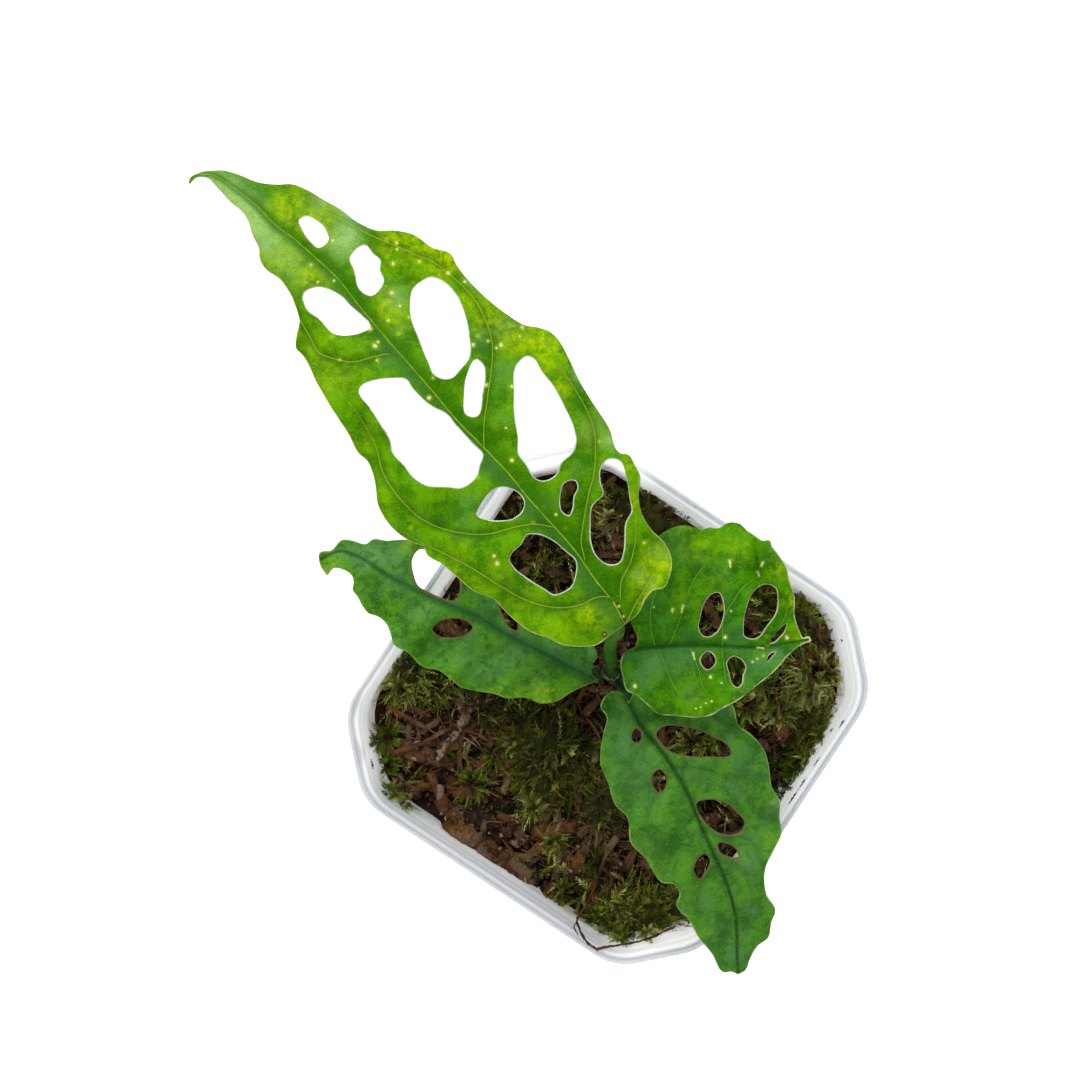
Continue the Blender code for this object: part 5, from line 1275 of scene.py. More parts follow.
# %% [markdown]
# ## The pot
# It is a thin moulded plastic pot, square with cut corners. A shop pot has rounded edges everywhere, because a sharp
# edge doesn't fill in the mould. Its lip has a fine groove, the inner wall steps in below it, and the floor sits on a
# low foot ring and is pierced by eight holes. One closed profile goes round the square section for the wall, and a
# holed plate makes the floor.

# %% The pot's section and its rounded profile
POT_FOOT_ACROSS = 78 * MM
POT_WALL = 1.1 * MM
LIP_WIDTH = 1.1 * MM
CORNER_CUT = 1.2
CORNER_ROUND = 0.26
ROUND_STEPS = 5


def pot_section(side_steps=26, corner_steps=9, cut_steps=8):
    """The outline for a half width of 1: a flat side, an arc of 45 degrees, the straight cut at CORNER_CUT from the
    middle and another arc, four times round."""
    meet = CORNER_CUT * math.sqrt(2) - 1
    flat_end = meet - CORNER_ROUND * math.tan(math.radians(22.5))
    side = np.column_stack((np.ones(side_steps), np.linspace(-flat_end, flat_end, side_steps, endpoint=False)))
    angle = np.radians(np.linspace(0, 45, corner_steps + 1))
    first = (1 - CORNER_ROUND, flat_end) + CORNER_ROUND * np.column_stack((np.cos(angle), np.sin(angle)))
    second = first[::-1, ::-1]
    share = np.linspace(0, 1, cut_steps, endpoint=False)[1:, None]
    cut = first[-1] + (second[0] - first[-1]) * share
    quarter = np.concatenate((side, first, cut, second[:-1]))
    turn = np.array(((0, 1), (-1, 0)))
    return np.concatenate([quarter @ np.linalg.matrix_power(turn, count) for count in range(4)])


def outer_half(height):
    """Half the pot's width over its tapering outer faces."""
    return (POT_FOOT_ACROSS + (POT_ACROSS - 2 * LIP_WIDTH - POT_FOOT_ACROSS) * height / POT_HEIGHT) / 2


def rounded(corners):
    """A closed profile with each corner (half, height, reach) rounded by a curve that starts and ends at reach from it:
    (1 - t)^2 * before + 2 t (1 - t) * corner + t^2 * after."""
    corners = np.asarray(corners, float)
    place, reach = corners[:, :2], corners[:, 2:]
    back = np.roll(place, 1, axis=0) - place
    ahead = np.roll(place, -1, axis=0) - place
    before = place + back / np.linalg.norm(back, axis=1)[:, None] * reach
    after = place + ahead / np.linalg.norm(ahead, axis=1)[:, None] * reach
    t = np.linspace(0, 1, ROUND_STEPS)[:, None, None]
    curve = (1 - t) ** 2 * before + 2 * t * (1 - t) * place + t**2 * after
    return curve.transpose(1, 0, 2).reshape(-1, 2)


def inner(height):
    """Half the pot's width between its inner faces, both in millimetres."""
    return outer_half(height * MM) / MM - POT_WALL / MM


# Half width, height and reach of the rounding in millimetres: eight corners outside and on the lip, six inside
OUTER_CORNERS = 8
profile = rounded((
    (36.4, 0.0, 0.25), (38.85, 0.0, 1.3), (48.13, 83.0, 0.35), (49.9, 83.0, 0.55), (50.0, 90.0, 0.5),
    (49.35, 90.0, 0.12), (49.12, 89.45, 0.1), (48.9, 90.0, 0.12), (47.85, 90.0, 0.4), (inner(86.6) + 0.2, 86.6, 0.1),
    (inner(86.2), 86.2, 0.15), (inner(70.0), 70.0, 0.5), (inner(1.0), 1.0, 0.1), (36.5, 0.9, 0.1),
)) * MM
section = pot_section()
wall_points = np.concatenate((
    profile[:, None, :1] * section[None],
    np.broadcast_to(profile[:, None, 1:], (len(profile), len(section), 1)),
), axis=2).reshape(-1, 3)
wall_faces = grid_faces(len(profile) + 1, len(section)) % len(wall_points)
within = (np.arange(len(profile)) >= OUTER_CORNERS * ROUND_STEPS).astype(float)
print("pot profile of", len(profile), "points round a section of", len(section))

# %% The pot's floor plate
HOLES = 8
HOLE_RADIUS = 3.5
HOLES_FROM_MIDDLE = 24
hole_angles = np.arange(HOLES) / HOLES * math.tau + math.pi / HOLES
circle = np.arange(28) / 28 * math.tau
round_hole = HOLE_RADIUS * np.column_stack((np.cos(circle), np.sin(circle)))
hole_loops = [HOLES_FROM_MIDDLE * np.array((math.cos(angle), math.sin(angle))) + round_hole for angle in hole_angles]
plate_flat, plate_faces = net([section * 38.3, *hole_loops], 3.0)
plate_middle = np.column_stack((plate_flat * MM, np.full(len(plate_flat), 1.1 * MM)))
plate_points, plate_triangles, plate_walls, _ = closed_sheet(plate_middle, plate_faces, 1.4 * MM, 0.12 * MM)

# %% The pot's plastic
# Splashes and specks of soil on the inner wall: pixel and radius in millimetres
SPLASHES = (
    (838, 660, 1.5), (843, 723, 1.0), (834, 766, 1.0), (806, 786, 1.3), (797, 799, 1.1), (801, 806, 0.9),
    (366, 632, 1.6), (372, 765, 1.0), (824, 700, 1.4), (405, 655, 1.6), (668, 926, 1.2), (390, 790, 1.2),
)
SPECKS = ((832, 730, 0.55), (806, 783, 0.45), (797, 797, 0.42), (800, 803, 0.35), (842, 640, 0.3))
# Stretches of the rim with painted shade, then with painted light: pixel, height and radius in millimetres
SHADED_RIM = (
    (350, 650, 90.0, 4.8), (346, 700, 90.0, 4.8), (350, 755, 90.0, 4.8), (420, 818, 86.0, 20.0),
    (466, 846, 86.0, 22.0), (520, 880, 86.0, 22.0), (570, 914, 86.0, 20.0),
)
LIT = ((540, 452, 90.0, 15.0), (604, 472, 90.0, 15.0))


def across_section(flat):
    """Half the width of the pot's section on whose edge a point lies."""
    x, y = np.abs(flat[..., 0]), np.abs(flat[..., 1])
    return np.maximum(np.maximum(x, y), (x + y) / (CORNER_CUT * math.sqrt(2)))


def on_wall(rows):
    """Rows of pixel and radius as places where the eye's line through the pixel meets the inner wall, and radii."""
    heights = np.linspace(76, 91, 121) * MM
    spots = []
    for u, v, radius in rows:
        places = seen(u, v, heights)
        nearest = np.abs(across_section(places) - outer_half(heights) + POT_WALL).argmin()
        spots.append((*map(float, places[nearest]), radius * MM))
    return spots


pot_paint, start = new_paint(
    "white_plastic", Specular_IOR_Level=0.4, Subsurface_Weight=1.0, Subsurface_Scale=0.005,
    Subsurface_Radius=(1.0, 1.0, 1.0), Emission_Strength=1.0
)
at = start.place()
height = at.parts()[2] * (1 / MM)
inside = start.attribute("within", "Fac")
cloud = at.noise(55.0, 3.0)
fine = at.noise(900.0, 3.0, 0.6)
rim_shade = at.near_any(spots_at(SHADED_RIM), 0.4)
lit = at.near_any(spots_at(LIT), 0.3)
damp = height.above(83.5, 78.5) * inside * at.noise(160.0, 3.0, 0.6).above(0.35, 0.62)
splash = at.near_any(on_wall(SPLASHES), 0.2) * at.noise(700.0, 2.0).above(0.35, 0.6) * inside
dust = at.noise(240.0, 4.0, 0.7).above(0.60, 0.74)
# One white plastic: a greyer outer face and lip as painted shade, a brighter inner wall as painted light
colour = coated(
    cloud.above(0.35, 0.65).mixed((0.61, 0.615, 0.645), (0.68, 0.682, 0.70)),
    (inside, (0.86, 0.86, 0.87)),
    # painted shade on stretches of the lip and the inner wall
    (rim_shade * 0.75, (0.57, 0.575, 0.59)),
    (damp * 0.55, (0.36, 0.26, 0.17)),
    (splash * 0.55, (0.38, 0.26, 0.18)),
    (dust * 0.22, (0.45, 0.40, 0.34)),
)
# Painted light: a glow on the inner wall, more towards the lip, and on the lit stretches of the rim
glow = inside * height.above(70.0, 88.0) * (0.22 + 0.16 * cloud) * (1 - 0.65 * rim_shade) + 0.35 * lit
scuffs = at.noise(420.0, 2.0, 0.5, (1, 1, 5)).above(0.62, 0.72)
rough = 0.34 + 0.14 * cloud + 0.2 * dust + 0.12 * scuffs + 0.25 * splash
painted_wall_glow = glow.mixed((0.0, 0.0, 0.0), (1.0, 0.99, 0.97))
connect(
    pot_paint, fine + scuffs * 0.6, 0.06 * MM, 0.35, Base_Color=colour, Roughness=rough,
    Emission_Color=painted_wall_glow,
)

shift = len(wall_points)
add_piece(
    "pot_moulded", np.concatenate((wall_points, plate_points)),
    (wall_faces, plate_triangles + shift, plate_walls + shift), pot_paint,
    {"within": np.concatenate((np.repeat(within, len(section)), np.ones(len(plate_points))))}, "pot",
)

# %% [markdown]
# ## The substrate
# The pot is filled with chopped bark and coir: flakes of every size, brown, reddish and grey, with fibres between them
# and black gaps below. A bump texture can't give such gaps, so this is built as it is in the pot: a dark lumpy bed,
# then large flakes where the photograph shows them, then hundreds of small ones, fibres and crumbs, each made by one
# formula over arrays of seeded places.

# %% The bed
SOIL_TOP = 78 * MM
SOIL_FLOOR = 2.1 * MM
SOIL_PLAY = POT_WALL + GAP


def soil_height(x, y):
    """A level, a low mound round the stem and nine seeded swells 18 to 34 mm long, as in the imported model."""
    draw = np.random.default_rng(11)
    height = SOIL_TOP + 1.2 * MM * np.exp(-(x * x + y * y) / (26 * MM) ** 2)
    for _ in range(9):
        angle, phase = draw.uniform(0, math.tau, 2)
        wave = math.tau / draw.uniform(18 * MM, 34 * MM)
        height = height + 0.42 * MM * np.sin(wave * (x * math.cos(angle) + y * math.sin(angle)) + phase)
    return height


def bed_height(x, y):
    """The substrate's height less up to 1.6 mm of seeded pits, where the black gaps are."""
    flat = np.stack((x, y), axis=-1)
    pits = 0.5 + 0.5 * waves(flat, 6 * MM, 51) * waves(flat, 3.1 * MM, 52)
    return soil_height(x, y) - 0.55 * MM - 1.1 * MM * np.clip(pits, 0, 1) + 0.25 * MM * waves(flat, 1.3 * MM, 53)


top_half = outer_half(SOIL_TOP - 4 * MM) - SOIL_PLAY
top_rings = np.linspace(1, 0.02, 96)[:, None, None] * section[None] * top_half
top_rings = np.concatenate((top_rings, bed_height(top_rings[..., 0], top_rings[..., 1])[..., None]), axis=2)
side_heights = np.linspace(SOIL_FLOOR, SOIL_TOP - 5 * MM, 24)
side_rings = (outer_half(side_heights) - SOIL_PLAY)[:, None, None] * section[None]
side_levels = np.broadcast_to(side_heights[:, None, None], (*side_rings.shape[:2], 1))
side_rings = np.concatenate((side_rings, side_levels), axis=2)
bed_points, *bed_faces = closed_rings(
    np.concatenate((side_rings, top_rings))[None], np.array(((0, 0, SOIL_FLOOR),)),
    np.array(((0, 0, bed_height(0.0, 0.0)),)),
)


def bark_paint(name, dark, mid, light, depth):
    """Bark or coir: a piece's own shade, wear and redness from its points, fibres along the piece, pits and crumbs;
    the pits are small dark spots of painted shade.

    A point's "grain" is its place in the length, width and thickness of its own piece, in millimetres.
    """
    paint, start = new_paint(name)
    shade, worn, red = start.attribute("shade").parts()
    at = start.place()
    grain = 0.6 * start.attribute("grain").noise(2.4, 4.0, 0.7, (0.13, 1, 1)) + 0.4 * at.noise(900.0, 4.0, 0.7)
    fine = at.noise(2400.0, 2.0, 0.6)
    brown, ochre, umber = mid
    colour = coated(
        (shade + (grain - 0.5) * 2.2).above(0.05, 0.95).mixed(dark, mid),
        (red * 0.6, (brown * 1.1, ochre * 0.72, umber * 0.6)),
        (at.noise(75.0, 1.0).above(0.54, 0.62) * 0.6, (brown * 1.35, ochre * 1.15, umber * 0.55)),
        (at.noise(120.0, 2.0).above(0.57, 0.66) * 0.45, tinted(light, 0.75)),
        ((worn * 0.8 + grain * 0.5).above(0.62, 0.95), light),
        # small dark spots: painted shade in pits
        (at.noise(330.0, 2.0).above(0.56, 0.68) * 0.55, tinted(dark, 0.35)),
    )
    connect(paint, grain + fine * 0.5, depth, 0.9, Base_Color=colour, Roughness=0.72 + 0.2 * grain)
    return paint


bed_paint = bark_paint("dark_bed", (0.009, 0.005, 0.003), (0.055, 0.028, 0.016), (0.12, 0.06, 0.035), 0.8 * MM)
draw = np.random.default_rng(61)
bed_shade = np.column_stack((draw.uniform(0, 0.7, len(bed_points)), np.zeros((len(bed_points), 2))))
add_piece("substrate_bed", bed_points, bed_faces, bed_paint, {"shade": bed_shade}, "substrate")

# %% Flakes of bark
# The large ones: the pixels of both ends, width and thickness in millimetres, skew, shade, redness
BARK = (
    ((390, 708), (425, 727), 2.2, 2.2, 0.5, 0.6, 1.0), ((441, 751), (472, 711), 2.4, 3.2, 0.3, 1.6, 0.0),
    ((402, 748), (454, 762), 5.6, 3.4, 0.2, 0.9, 0.1), ((444, 826), (474, 850), 7.0, 3.6, 0.2, 0.7, 0.5),
    ((470, 768), (500, 752), 3.2, 2.6, 0.4, 0.5, 0.6), ((536, 833), (578, 822), 4.4, 3.4, 0.3, 1.15, 0.6),
    ((571, 878), (590, 836), 3.6, 2.8, 0.2, 0.6, 0.2), ((648, 858), (664, 878), 5.5, 4.4, 0.3, 0.7, 0.8),
    ((602, 846), (622, 871), 3.2, 2.6, 0.4, 0.6, 0.2), ((760, 742), (792, 726), 4.4, 4.8, 0.3, 1.3, 0.4),
    ((790, 668), (818, 647), 4.4, 3.0, 0.2, 0.8, 0.7), ((706, 605), (729, 640), 3.2, 2.8, 0.3, 1.1, 0.0),
    ((598, 520), (622, 548), 3.4, 3.0, 0.3, 0.7, 0.2), ((536, 560), (566, 580), 4.2, 3.0, 0.2, 0.6, 0.4),
    # The flake from (462, 640) to (440, 620), under the left leaf, takes a lighter tone than its own: painted light.
    ((462, 640), (440, 620), 5.6, 4.6, 0.3, 1.35, 0.5), ((470, 692), (496, 712), 2.8, 2.4, 0.4, 0.9, 0.2),
    ((452, 785), (486, 797), 4.6, 3.4, 0.3, 0.6, 0.7), ((398, 782), (420, 796), 3.0, 3.0, 0.2, 0.7, 0.3),
    ((432, 688), (452, 701), 3.4, 2.6, 0.3, 0.8, 0.1), ((503, 838), (522, 812), 2.4, 2.6, 0.4, 0.5, 0.4),
    ((545, 890), (566, 905), 3.6, 3.0, 0.2, 0.7, 0.3), ((500, 560), (520, 530), 3.0, 2.8, 0.3, 0.7, 0.3),
    ((575, 600), (560, 632), 3.8, 3.0, 0.2, 0.6, 0.3), ((740, 790), (757, 764), 4.0, 3.2, 0.3, 0.9, 0.3),
    ((730, 560), (752, 578), 3.6, 2.8, 0.3, 0.8, 0.3), ((478, 842), (512, 866), 6.0, 3.2, 0.3, 0.8, 0.3),
    ((500, 866), (536, 884), 5.0, 3.0, 0.2, 0.9, 0.4), ((512, 842), (533, 838), 1.6, 1.8, 0.4, 1.7, 0.0),
    ((440, 800), (462, 822), 4.2, 3.0, 0.3, 0.7, 0.5), ((540, 806), (549, 792), 3.4, 2.6, 0.3, 0.8, 1.0),
    ((700, 822), (722, 812), 3.4, 2.8, 0.3, 1.15, 0.6), ((822, 630), (842, 660), 3.4, 2.6, 0.3, 0.8, 0.9),
    ((394, 760), (384, 738), 3.2, 2.4, 0.3, 1.0, 0.2), ((755, 600), (748, 625), 3.4, 2.8, 0.3, 0.7, 0.3),
    ((456, 730), (475, 704), 2.2, 6.4, 0.3, 1.9, 0.0), ((436, 758), (452, 736), 2.2, 5.6, 0.3, 1.7, 0.0),
    ((810, 620), (832, 648), 1.8, 4.2, 0.4, 1.2, 0.7), ((800, 640), (826, 664), 1.6, 4.4, 0.4, 1.1, 0.9),
    ((820, 656), (838, 684), 1.8, 4.0, 0.4, 1.1, 0.6), ((744, 752), (772, 741), 4.2, 4.8, 0.3, 1.25, 0.5),
    ((386, 800), (398, 774), 1.8, 6.4, 0.4, 1.6, 0.3),
)
KEPT_HALF = outer_half(SOIL_TOP) - POT_WALL - 1.6 * MM


def reach_of(flat):
    """How far out a point of the soil's plane lies: 1 on the pot's section, 0 in the middle."""
    return across_section(flat) / KEPT_HALF


def kept_inside(places, reach=1):
    """Places moved in, where they lie further out than this reach."""
    places[:, :2] /= np.maximum(reach_of(places) / reach, 1)[:, None]


def flakes(start, end, width, thick, skew, rows, columns, rugged, seed):
    """Splinters between two places: at the share t the half width is width / 2 * (0.82 - 0.25 t), and round the
    section it goes as |cos|^0.55 and |sin|^0.55. The ends shear by skew * width and are torn, and seeded noise of
    `rugged` roughens it. Gives the points, walls, caps and each point's grain."""
    draw = np.random.default_rng(seed)
    count = len(start)
    t = np.linspace(0, 1, rows)[None, :, None]
    angle = (np.arange(columns) / columns * math.tau)[None, None, :]
    span = end - start
    along = unit(span)
    across = unit(np.cross((0, 0, 1.0), along))
    over = np.cross(along, across)
    wide = np.sign(np.cos(angle)) * np.abs(np.cos(angle)) ** 0.55
    tall = np.sign(np.sin(angle)) * np.abs(np.sin(angle)) ** 0.55
    rough = 1 + draw.uniform(-rugged, rugged, (count, rows, columns))
    half_width = width[:, None, None] / 2 * (0.82 - 0.25 * t) * rough
    half_thick = thick[:, None, None] / 2 * (1 - 0.35 * np.abs(2 * t - 1) ** 3) * (2 - rough)
    torn = draw.normal(0, 0.15, (count, 1, columns)) * np.abs(2 * t - 1) ** 5
    shear = width[:, None, None] * (skew[:, None, None] * (1 - 2 * t) * tall + torn)
    rings = (
        start[:, None, None] + span[:, None, None] * t[..., None] + shear[..., None] * along[:, None, None]
        + (half_width * wide)[..., None] * across[:, None, None] + (half_thick * tall)[..., None] * over[:, None, None]
    )
    low, high = rings[:, 0].mean(axis=1), rings[:, -1].mean(axis=1)
    length = np.linalg.norm(span, axis=1)[:, None, None]
    grain = np.stack(np.broadcast_arrays(length * t, half_width * wide, half_thick * tall), axis=-1) / MM
    grain[..., 2] += 9.0 * np.arange(count)[:, None, None]
    grain = np.concatenate((grain.reshape(count, -1, 3), grain[:, (0, -1)].mean(axis=2)), axis=1).reshape(-1, 3)
    peak = 0.1 * width[:, None] * along
    return (*closed_rings(rings, low - peak, high + peak), grain)


def own_shade(shades, worn, reds, size):
    """Shade, wear and redness for every point of pieces that have `size` points each."""
    return np.repeat(np.column_stack((shades, worn, reds)), size, axis=0)


FLAKE_ROWS, FLAKE_COLUMNS = 34, 30
SMALL_ROWS, SMALL_COLUMNS = 6, 8
big_ends = [np.array([seen(*row[end], SOIL_TOP) for row in BARK]) for end in (0, 1)]
for ends in big_ends:
    kept_inside(ends)
    ends[:, 2] = soil_height(ends[:, 0], ends[:, 1])
big_width, big_thick, big_skew, big_shade, big_red = np.array([row[2:] for row in BARK]).T
big_points, big_walls, big_caps, big_grain = flakes(
    *big_ends, big_width * MM, big_thick * 1.5 * MM, big_skew, FLAKE_ROWS, FLAKE_COLUMNS, 0.06, 71
)
big_points += wobble(big_points, 0.30 * MM, 2.1 * MM, 72)
big_points += wobble(big_points, 0.13 * MM, 0.9 * MM, 76)
big_shades = own_shade(big_shade * 0.6, np.maximum(big_shade - 0.75, 0), big_red, FLAKE_ROWS * FLAKE_COLUMNS + 2)
flake_paint = bark_paint("bark_flakes", (0.030, 0.014, 0.007), (0.205, 0.105, 0.052), (0.37, 0.26, 0.17), 1.1 * MM)
add_piece(
    "bark_large", big_points, (big_walls, big_caps), flake_paint, {"shade": big_shades, "grain": big_grain}
)


def scattered(count, draw, reach=0.97, clear=3.2 * MM):
    """Seeded places on the soil, inside the pot's section and clear of the stem."""
    flat = draw.uniform(-KEPT_HALF, KEPT_HALF, (count * 3, 2))
    flat = flat[reach_of(flat) < reach]
    flat = flat[np.linalg.norm(flat - seen(*STEM_TOP)[:2], axis=1) > clear]
    return flat[:count]


draw = np.random.default_rng(81)
flat = scattered(620, draw, 0.95)
count = len(flat)
small_width = draw.uniform(0.8, 3.0, count) * MM
small_length = small_width * draw.uniform(1.3, 3.4, count)
heading = draw.uniform(0, math.tau, count)
small_way = np.column_stack((np.cos(heading), np.sin(heading), draw.normal(0, 0.28, count))) * small_length[:, None]
middle = np.column_stack((flat, soil_height(flat[:, 0], flat[:, 1]) + draw.uniform(-0.7, 0.5, count) * MM))
small_ends = middle - small_way / 2, middle + small_way / 2
for ends in small_ends:
    kept_inside(ends, 0.99)
small_thick = small_width * draw.uniform(0.3, 0.6, count)
small_skew = draw.uniform(0, 0.5, count)
small_points, small_walls, small_caps, small_grain = flakes(
    *small_ends, small_width, small_thick, small_skew, SMALL_ROWS, SMALL_COLUMNS, 0.18, 82
)
small_points += wobble(small_points, 0.1 * MM, 1.2 * MM, 83)
small_shades = own_shade(
    draw.uniform(0, 0.85, count), draw.uniform(0, 1, count) ** 6, draw.uniform(0, 1, count) ** 3,
    SMALL_ROWS * SMALL_COLUMNS + 2,
)
add_piece(
    "bark_small", small_points, (small_walls, small_caps), flake_paint,
    {"shade": small_shades, "grain": small_grain},
)

# %% Fibres of coir and a few roots
FIBRE_STEPS = 9
FIBRE_SIDES = 4
share = np.linspace(0, 1, FIBRE_STEPS)
flat = scattered(560, draw, 0.93)
count = len(flat)
heading = draw.uniform(0, math.tau, count)[:, None] + draw.normal(0, 1.1, count)[:, None] * share
step_length = draw.uniform(0.35, 1.25, count)[:, None, None] * MM
steps = np.stack((np.cos(heading), np.sin(heading)), axis=2) * step_length
fibre_flat = flat[:, None] + np.cumsum(steps, axis=1)
fibre_flat /= np.maximum(reach_of(fibre_flat) / 0.99, 1)[..., None]
lift = draw.uniform(0.2, 2.6, count)[:, None] * MM * np.sin(math.pi * share) - 0.4 * MM
tilt = draw.normal(0, 0.8, count)[:, None] * MM * share
fibre_height = soil_height(fibre_flat[..., 0], fibre_flat[..., 1]) + lift + tilt
fibre_paths = np.concatenate((fibre_flat, fibre_height[..., None]), axis=2)
fibre_radii = draw.uniform(0.07, 0.24, count)[:, None] * MM * (1.15 - 0.7 * share)
fibre_points, *fibre_faces = tubes(fibre_paths, fibre_radii, FIBRE_SIDES)
fibre_shades = own_shade(
    draw.uniform(0, 1, count), draw.uniform(0, 1, count) ** 3, draw.uniform(0, 1, count) ** 2,
    FIBRE_STEPS * FIBRE_SIDES + 2,
)
coir_paint = bark_paint("coir_fibres", (0.042, 0.018, 0.008), (0.24, 0.115, 0.050), (0.48, 0.34, 0.20), 0.1 * MM)
add_piece("coir_fibres", fibre_points, fibre_faces, coir_paint, {"shade": fibre_shades})

# Roots and long strands seen one by one: their pixels and heights in millimetres, the radius, and the redness
ROOTS_SEEN = (
    (((395, 752, 80.6), (415, 746, 81.4), (432, 738, 81.9), (450, 729, 82.2), (470, 731, 81.6), (490, 741, 80.6)),
     0.62, 0.2),
    (((388, 706, 80.2), (400, 713, 80.9), (414, 721, 81.0), (426, 728, 80.4)), 0.66, 1.0),
    (((607, 850, 80.0), (602, 866, 80.8), (596, 884, 81.2), (588, 902, 81.8), (580, 914, 84.5), (577, 922, 88.3),
      (580, 930, 90.25), (586, 941, 90.4), (597, 950, 90.2)), 0.34, 0.2),
    (((580, 931, 90.3), (585, 940, 90.9), (592, 946, 91.0), (598, 949, 90.4)), 0.22, 0.2),
    (((597, 949, 90.3), (612, 946, 90.4), (632, 943, 90.2), (650, 938, 89.0), (665, 931, 86.2), (676, 926, 83.0)),
     0.3, 0.2),
    (((577, 922, 88.6), (574, 927, 90.3), (578, 935, 90.5)), 0.16, 0.2),
    (((775, 690, 80.6), (778, 706, 81.6), (777, 724, 81.8), (770, 742, 81.0)), 0.44, 0.8),
    (((756, 752, 80.6), (772, 747, 81.5), (786, 738, 81.5), (795, 728, 80.8)), 0.45, 0.6),
    (((601, 866, 80.6), (612, 880, 80.9), (606, 894, 81.0), (596, 905, 80.4)), 0.42, 0.3),
    (((700, 690, 80.5), (716, 700, 80.9), (740, 714, 80.6)), 0.4, 0.4),
)
root_parts, reds = [], []
for row, radius, red in ROOTS_SEEN:
    path = smooth_run([seen(u, v, height * MM) for u, v, height in row], 0.5 * MM)
    radii = radius * MM * (1 - 0.35 * np.linspace(0, 1, len(path))) * (1 + 0.1 * waves(path, 1.5 * MM, 91))
    root_parts.append(tubes(path[None], radii[None], 10))
    reds.append(np.full(len(root_parts[-1][0]), red))
offsets = np.cumsum([0] + [len(part[0]) for part in root_parts])
root_points = np.concatenate([part[0] for part in root_parts])
root_faces = [np.concatenate([part[i] + shift for part, shift in zip(root_parts, offsets)]) for i in (1, 2)]
root_points += wobble(root_points, 0.11 * MM, 1.0 * MM, 92)
root_shade = 0.5 + 0.3 * waves(root_points, 6 * MM, 95)
root_paint = bark_paint("root_skin", (0.030, 0.013, 0.008), (0.125, 0.055, 0.030), (0.30, 0.20, 0.13), 0.4 * MM)
add_piece(
    "roots", root_points, root_faces, root_paint,
    {"shade": np.column_stack((root_shade, np.zeros(len(root_points)), np.concatenate(reds)))},
)

# %% Crumbs
CRUMB_CORNERS = 6


def crumbs(middles, sizes, draw):
    """Irregular eight-sided crumbs: the six corners of an octahedron, each moved out or in by a seeded share."""
    corners = np.array(((1, 0, 0), (0, 1, 0), (-1, 0, 0), (0, -1, 0), (0, 0, 1), (0, 0, -1)), float)
    count = len(middles)
    spread = draw.uniform(0.45, 1.2, (count, CRUMB_CORNERS, 1)) + draw.normal(0, 0.12, (count, CRUMB_CORNERS, 3))
    points = middles[:, None] + corners * spread * sizes[:, None, None]
    faces = np.array(((0, 1, 4), (1, 2, 4), (2, 3, 4), (3, 0, 4), (1, 0, 5), (2, 1, 5), (3, 2, 5), (0, 3, 5)))
    offsets = (np.arange(count) * CRUMB_CORNERS)[:, None, None]
    return points.reshape(-1, 3), (faces + offsets).reshape(-1, 3)


flat = scattered(3600, draw, 0.985, 2.6 * MM)
crumb_middle = np.column_stack((flat, bed_height(flat[:, 0], flat[:, 1]) + draw.uniform(0.0, 0.9, len(flat)) * MM))
on_flakes = big_points[draw.integers(0, len(big_points), 5000)]
crumb_middle = np.concatenate((crumb_middle, on_flakes[on_flakes[:, 2] > SOIL_TOP + 0.8 * MM] - (0, 0, 0.1 * MM)))
crumb_size = draw.uniform(0.25, 0.95, len(crumb_middle)) ** 1.5 * MM
crumb_shade = np.column_stack((
    draw.uniform(0, 0.8, len(crumb_middle)), draw.uniform(0, 1, len(crumb_middle)) ** 4,
    draw.uniform(0, 1, len(crumb_middle)) ** 2,
))
# Crumbs of soil that stick to the wall, where splashes and specks are seen
wall_draw = np.random.default_rng(151)
for spots, number, largest in ((SPLASHES, 46, 0.20), (SPECKS, 16, 0.34)):
    *middle, radius = np.repeat(np.array(on_wall(spots)), number, axis=0).T
    stuck = np.column_stack(middle) + wall_draw.normal(0, 0.45, (len(radius), 3)) * radius[:, None]
    stuck[:, 2] = np.minimum(stuck[:, 2], 89 * MM)
    inner_half = outer_half(stuck[:, 2]) - POT_WALL - 0.08 * MM
    stuck[:, :2] *= (inner_half / across_section(stuck))[:, None]
    crumb_middle = np.concatenate((crumb_middle, stuck))
    crumb_size = np.concatenate((crumb_size, wall_draw.uniform(0.08, largest, len(stuck)) * MM))
    crumb_shade = np.concatenate((crumb_shade, wall_draw.uniform(0, 0.5, (len(stuck), 3)) * (1, 0, 1)))
crumb_points, crumb_faces = crumbs(crumb_middle, crumb_size, draw)
add_piece(
    "crumbs", crumb_points, (crumb_faces,), flake_paint,
    {"shade": own_shade(*crumb_shade.T, CRUMB_CORNERS)}, smooth=False,
)

# %% [markdown]
# ## The moss
# Live moss has crept all over the bark. A sprig is a soft bent stem with forty or so narrow leaves set round it in a
# spiral, longest in its middle, so that it looks like a small fir branch or a feather. Hair particles would make this
# quickly, but they don't survive an export. Here a sprig's leaves are diamonds of one face each, and all the sprigs of
# a cushion are one array. They crowd on the seven cushions and thin out between them.

# %% A sprig of moss
GOLDEN_ANGLE = math.pi * (3 - math.sqrt(5))
SPRIG_LEAVES = 38


def wall_lean(above):
    """How much further out the pot's inner wall lies at a height over the soil, as a share of its half width."""
    return (outer_half(SOIL_TOP + above) - outer_half(SOIL_TOP)) / KEPT_HALF


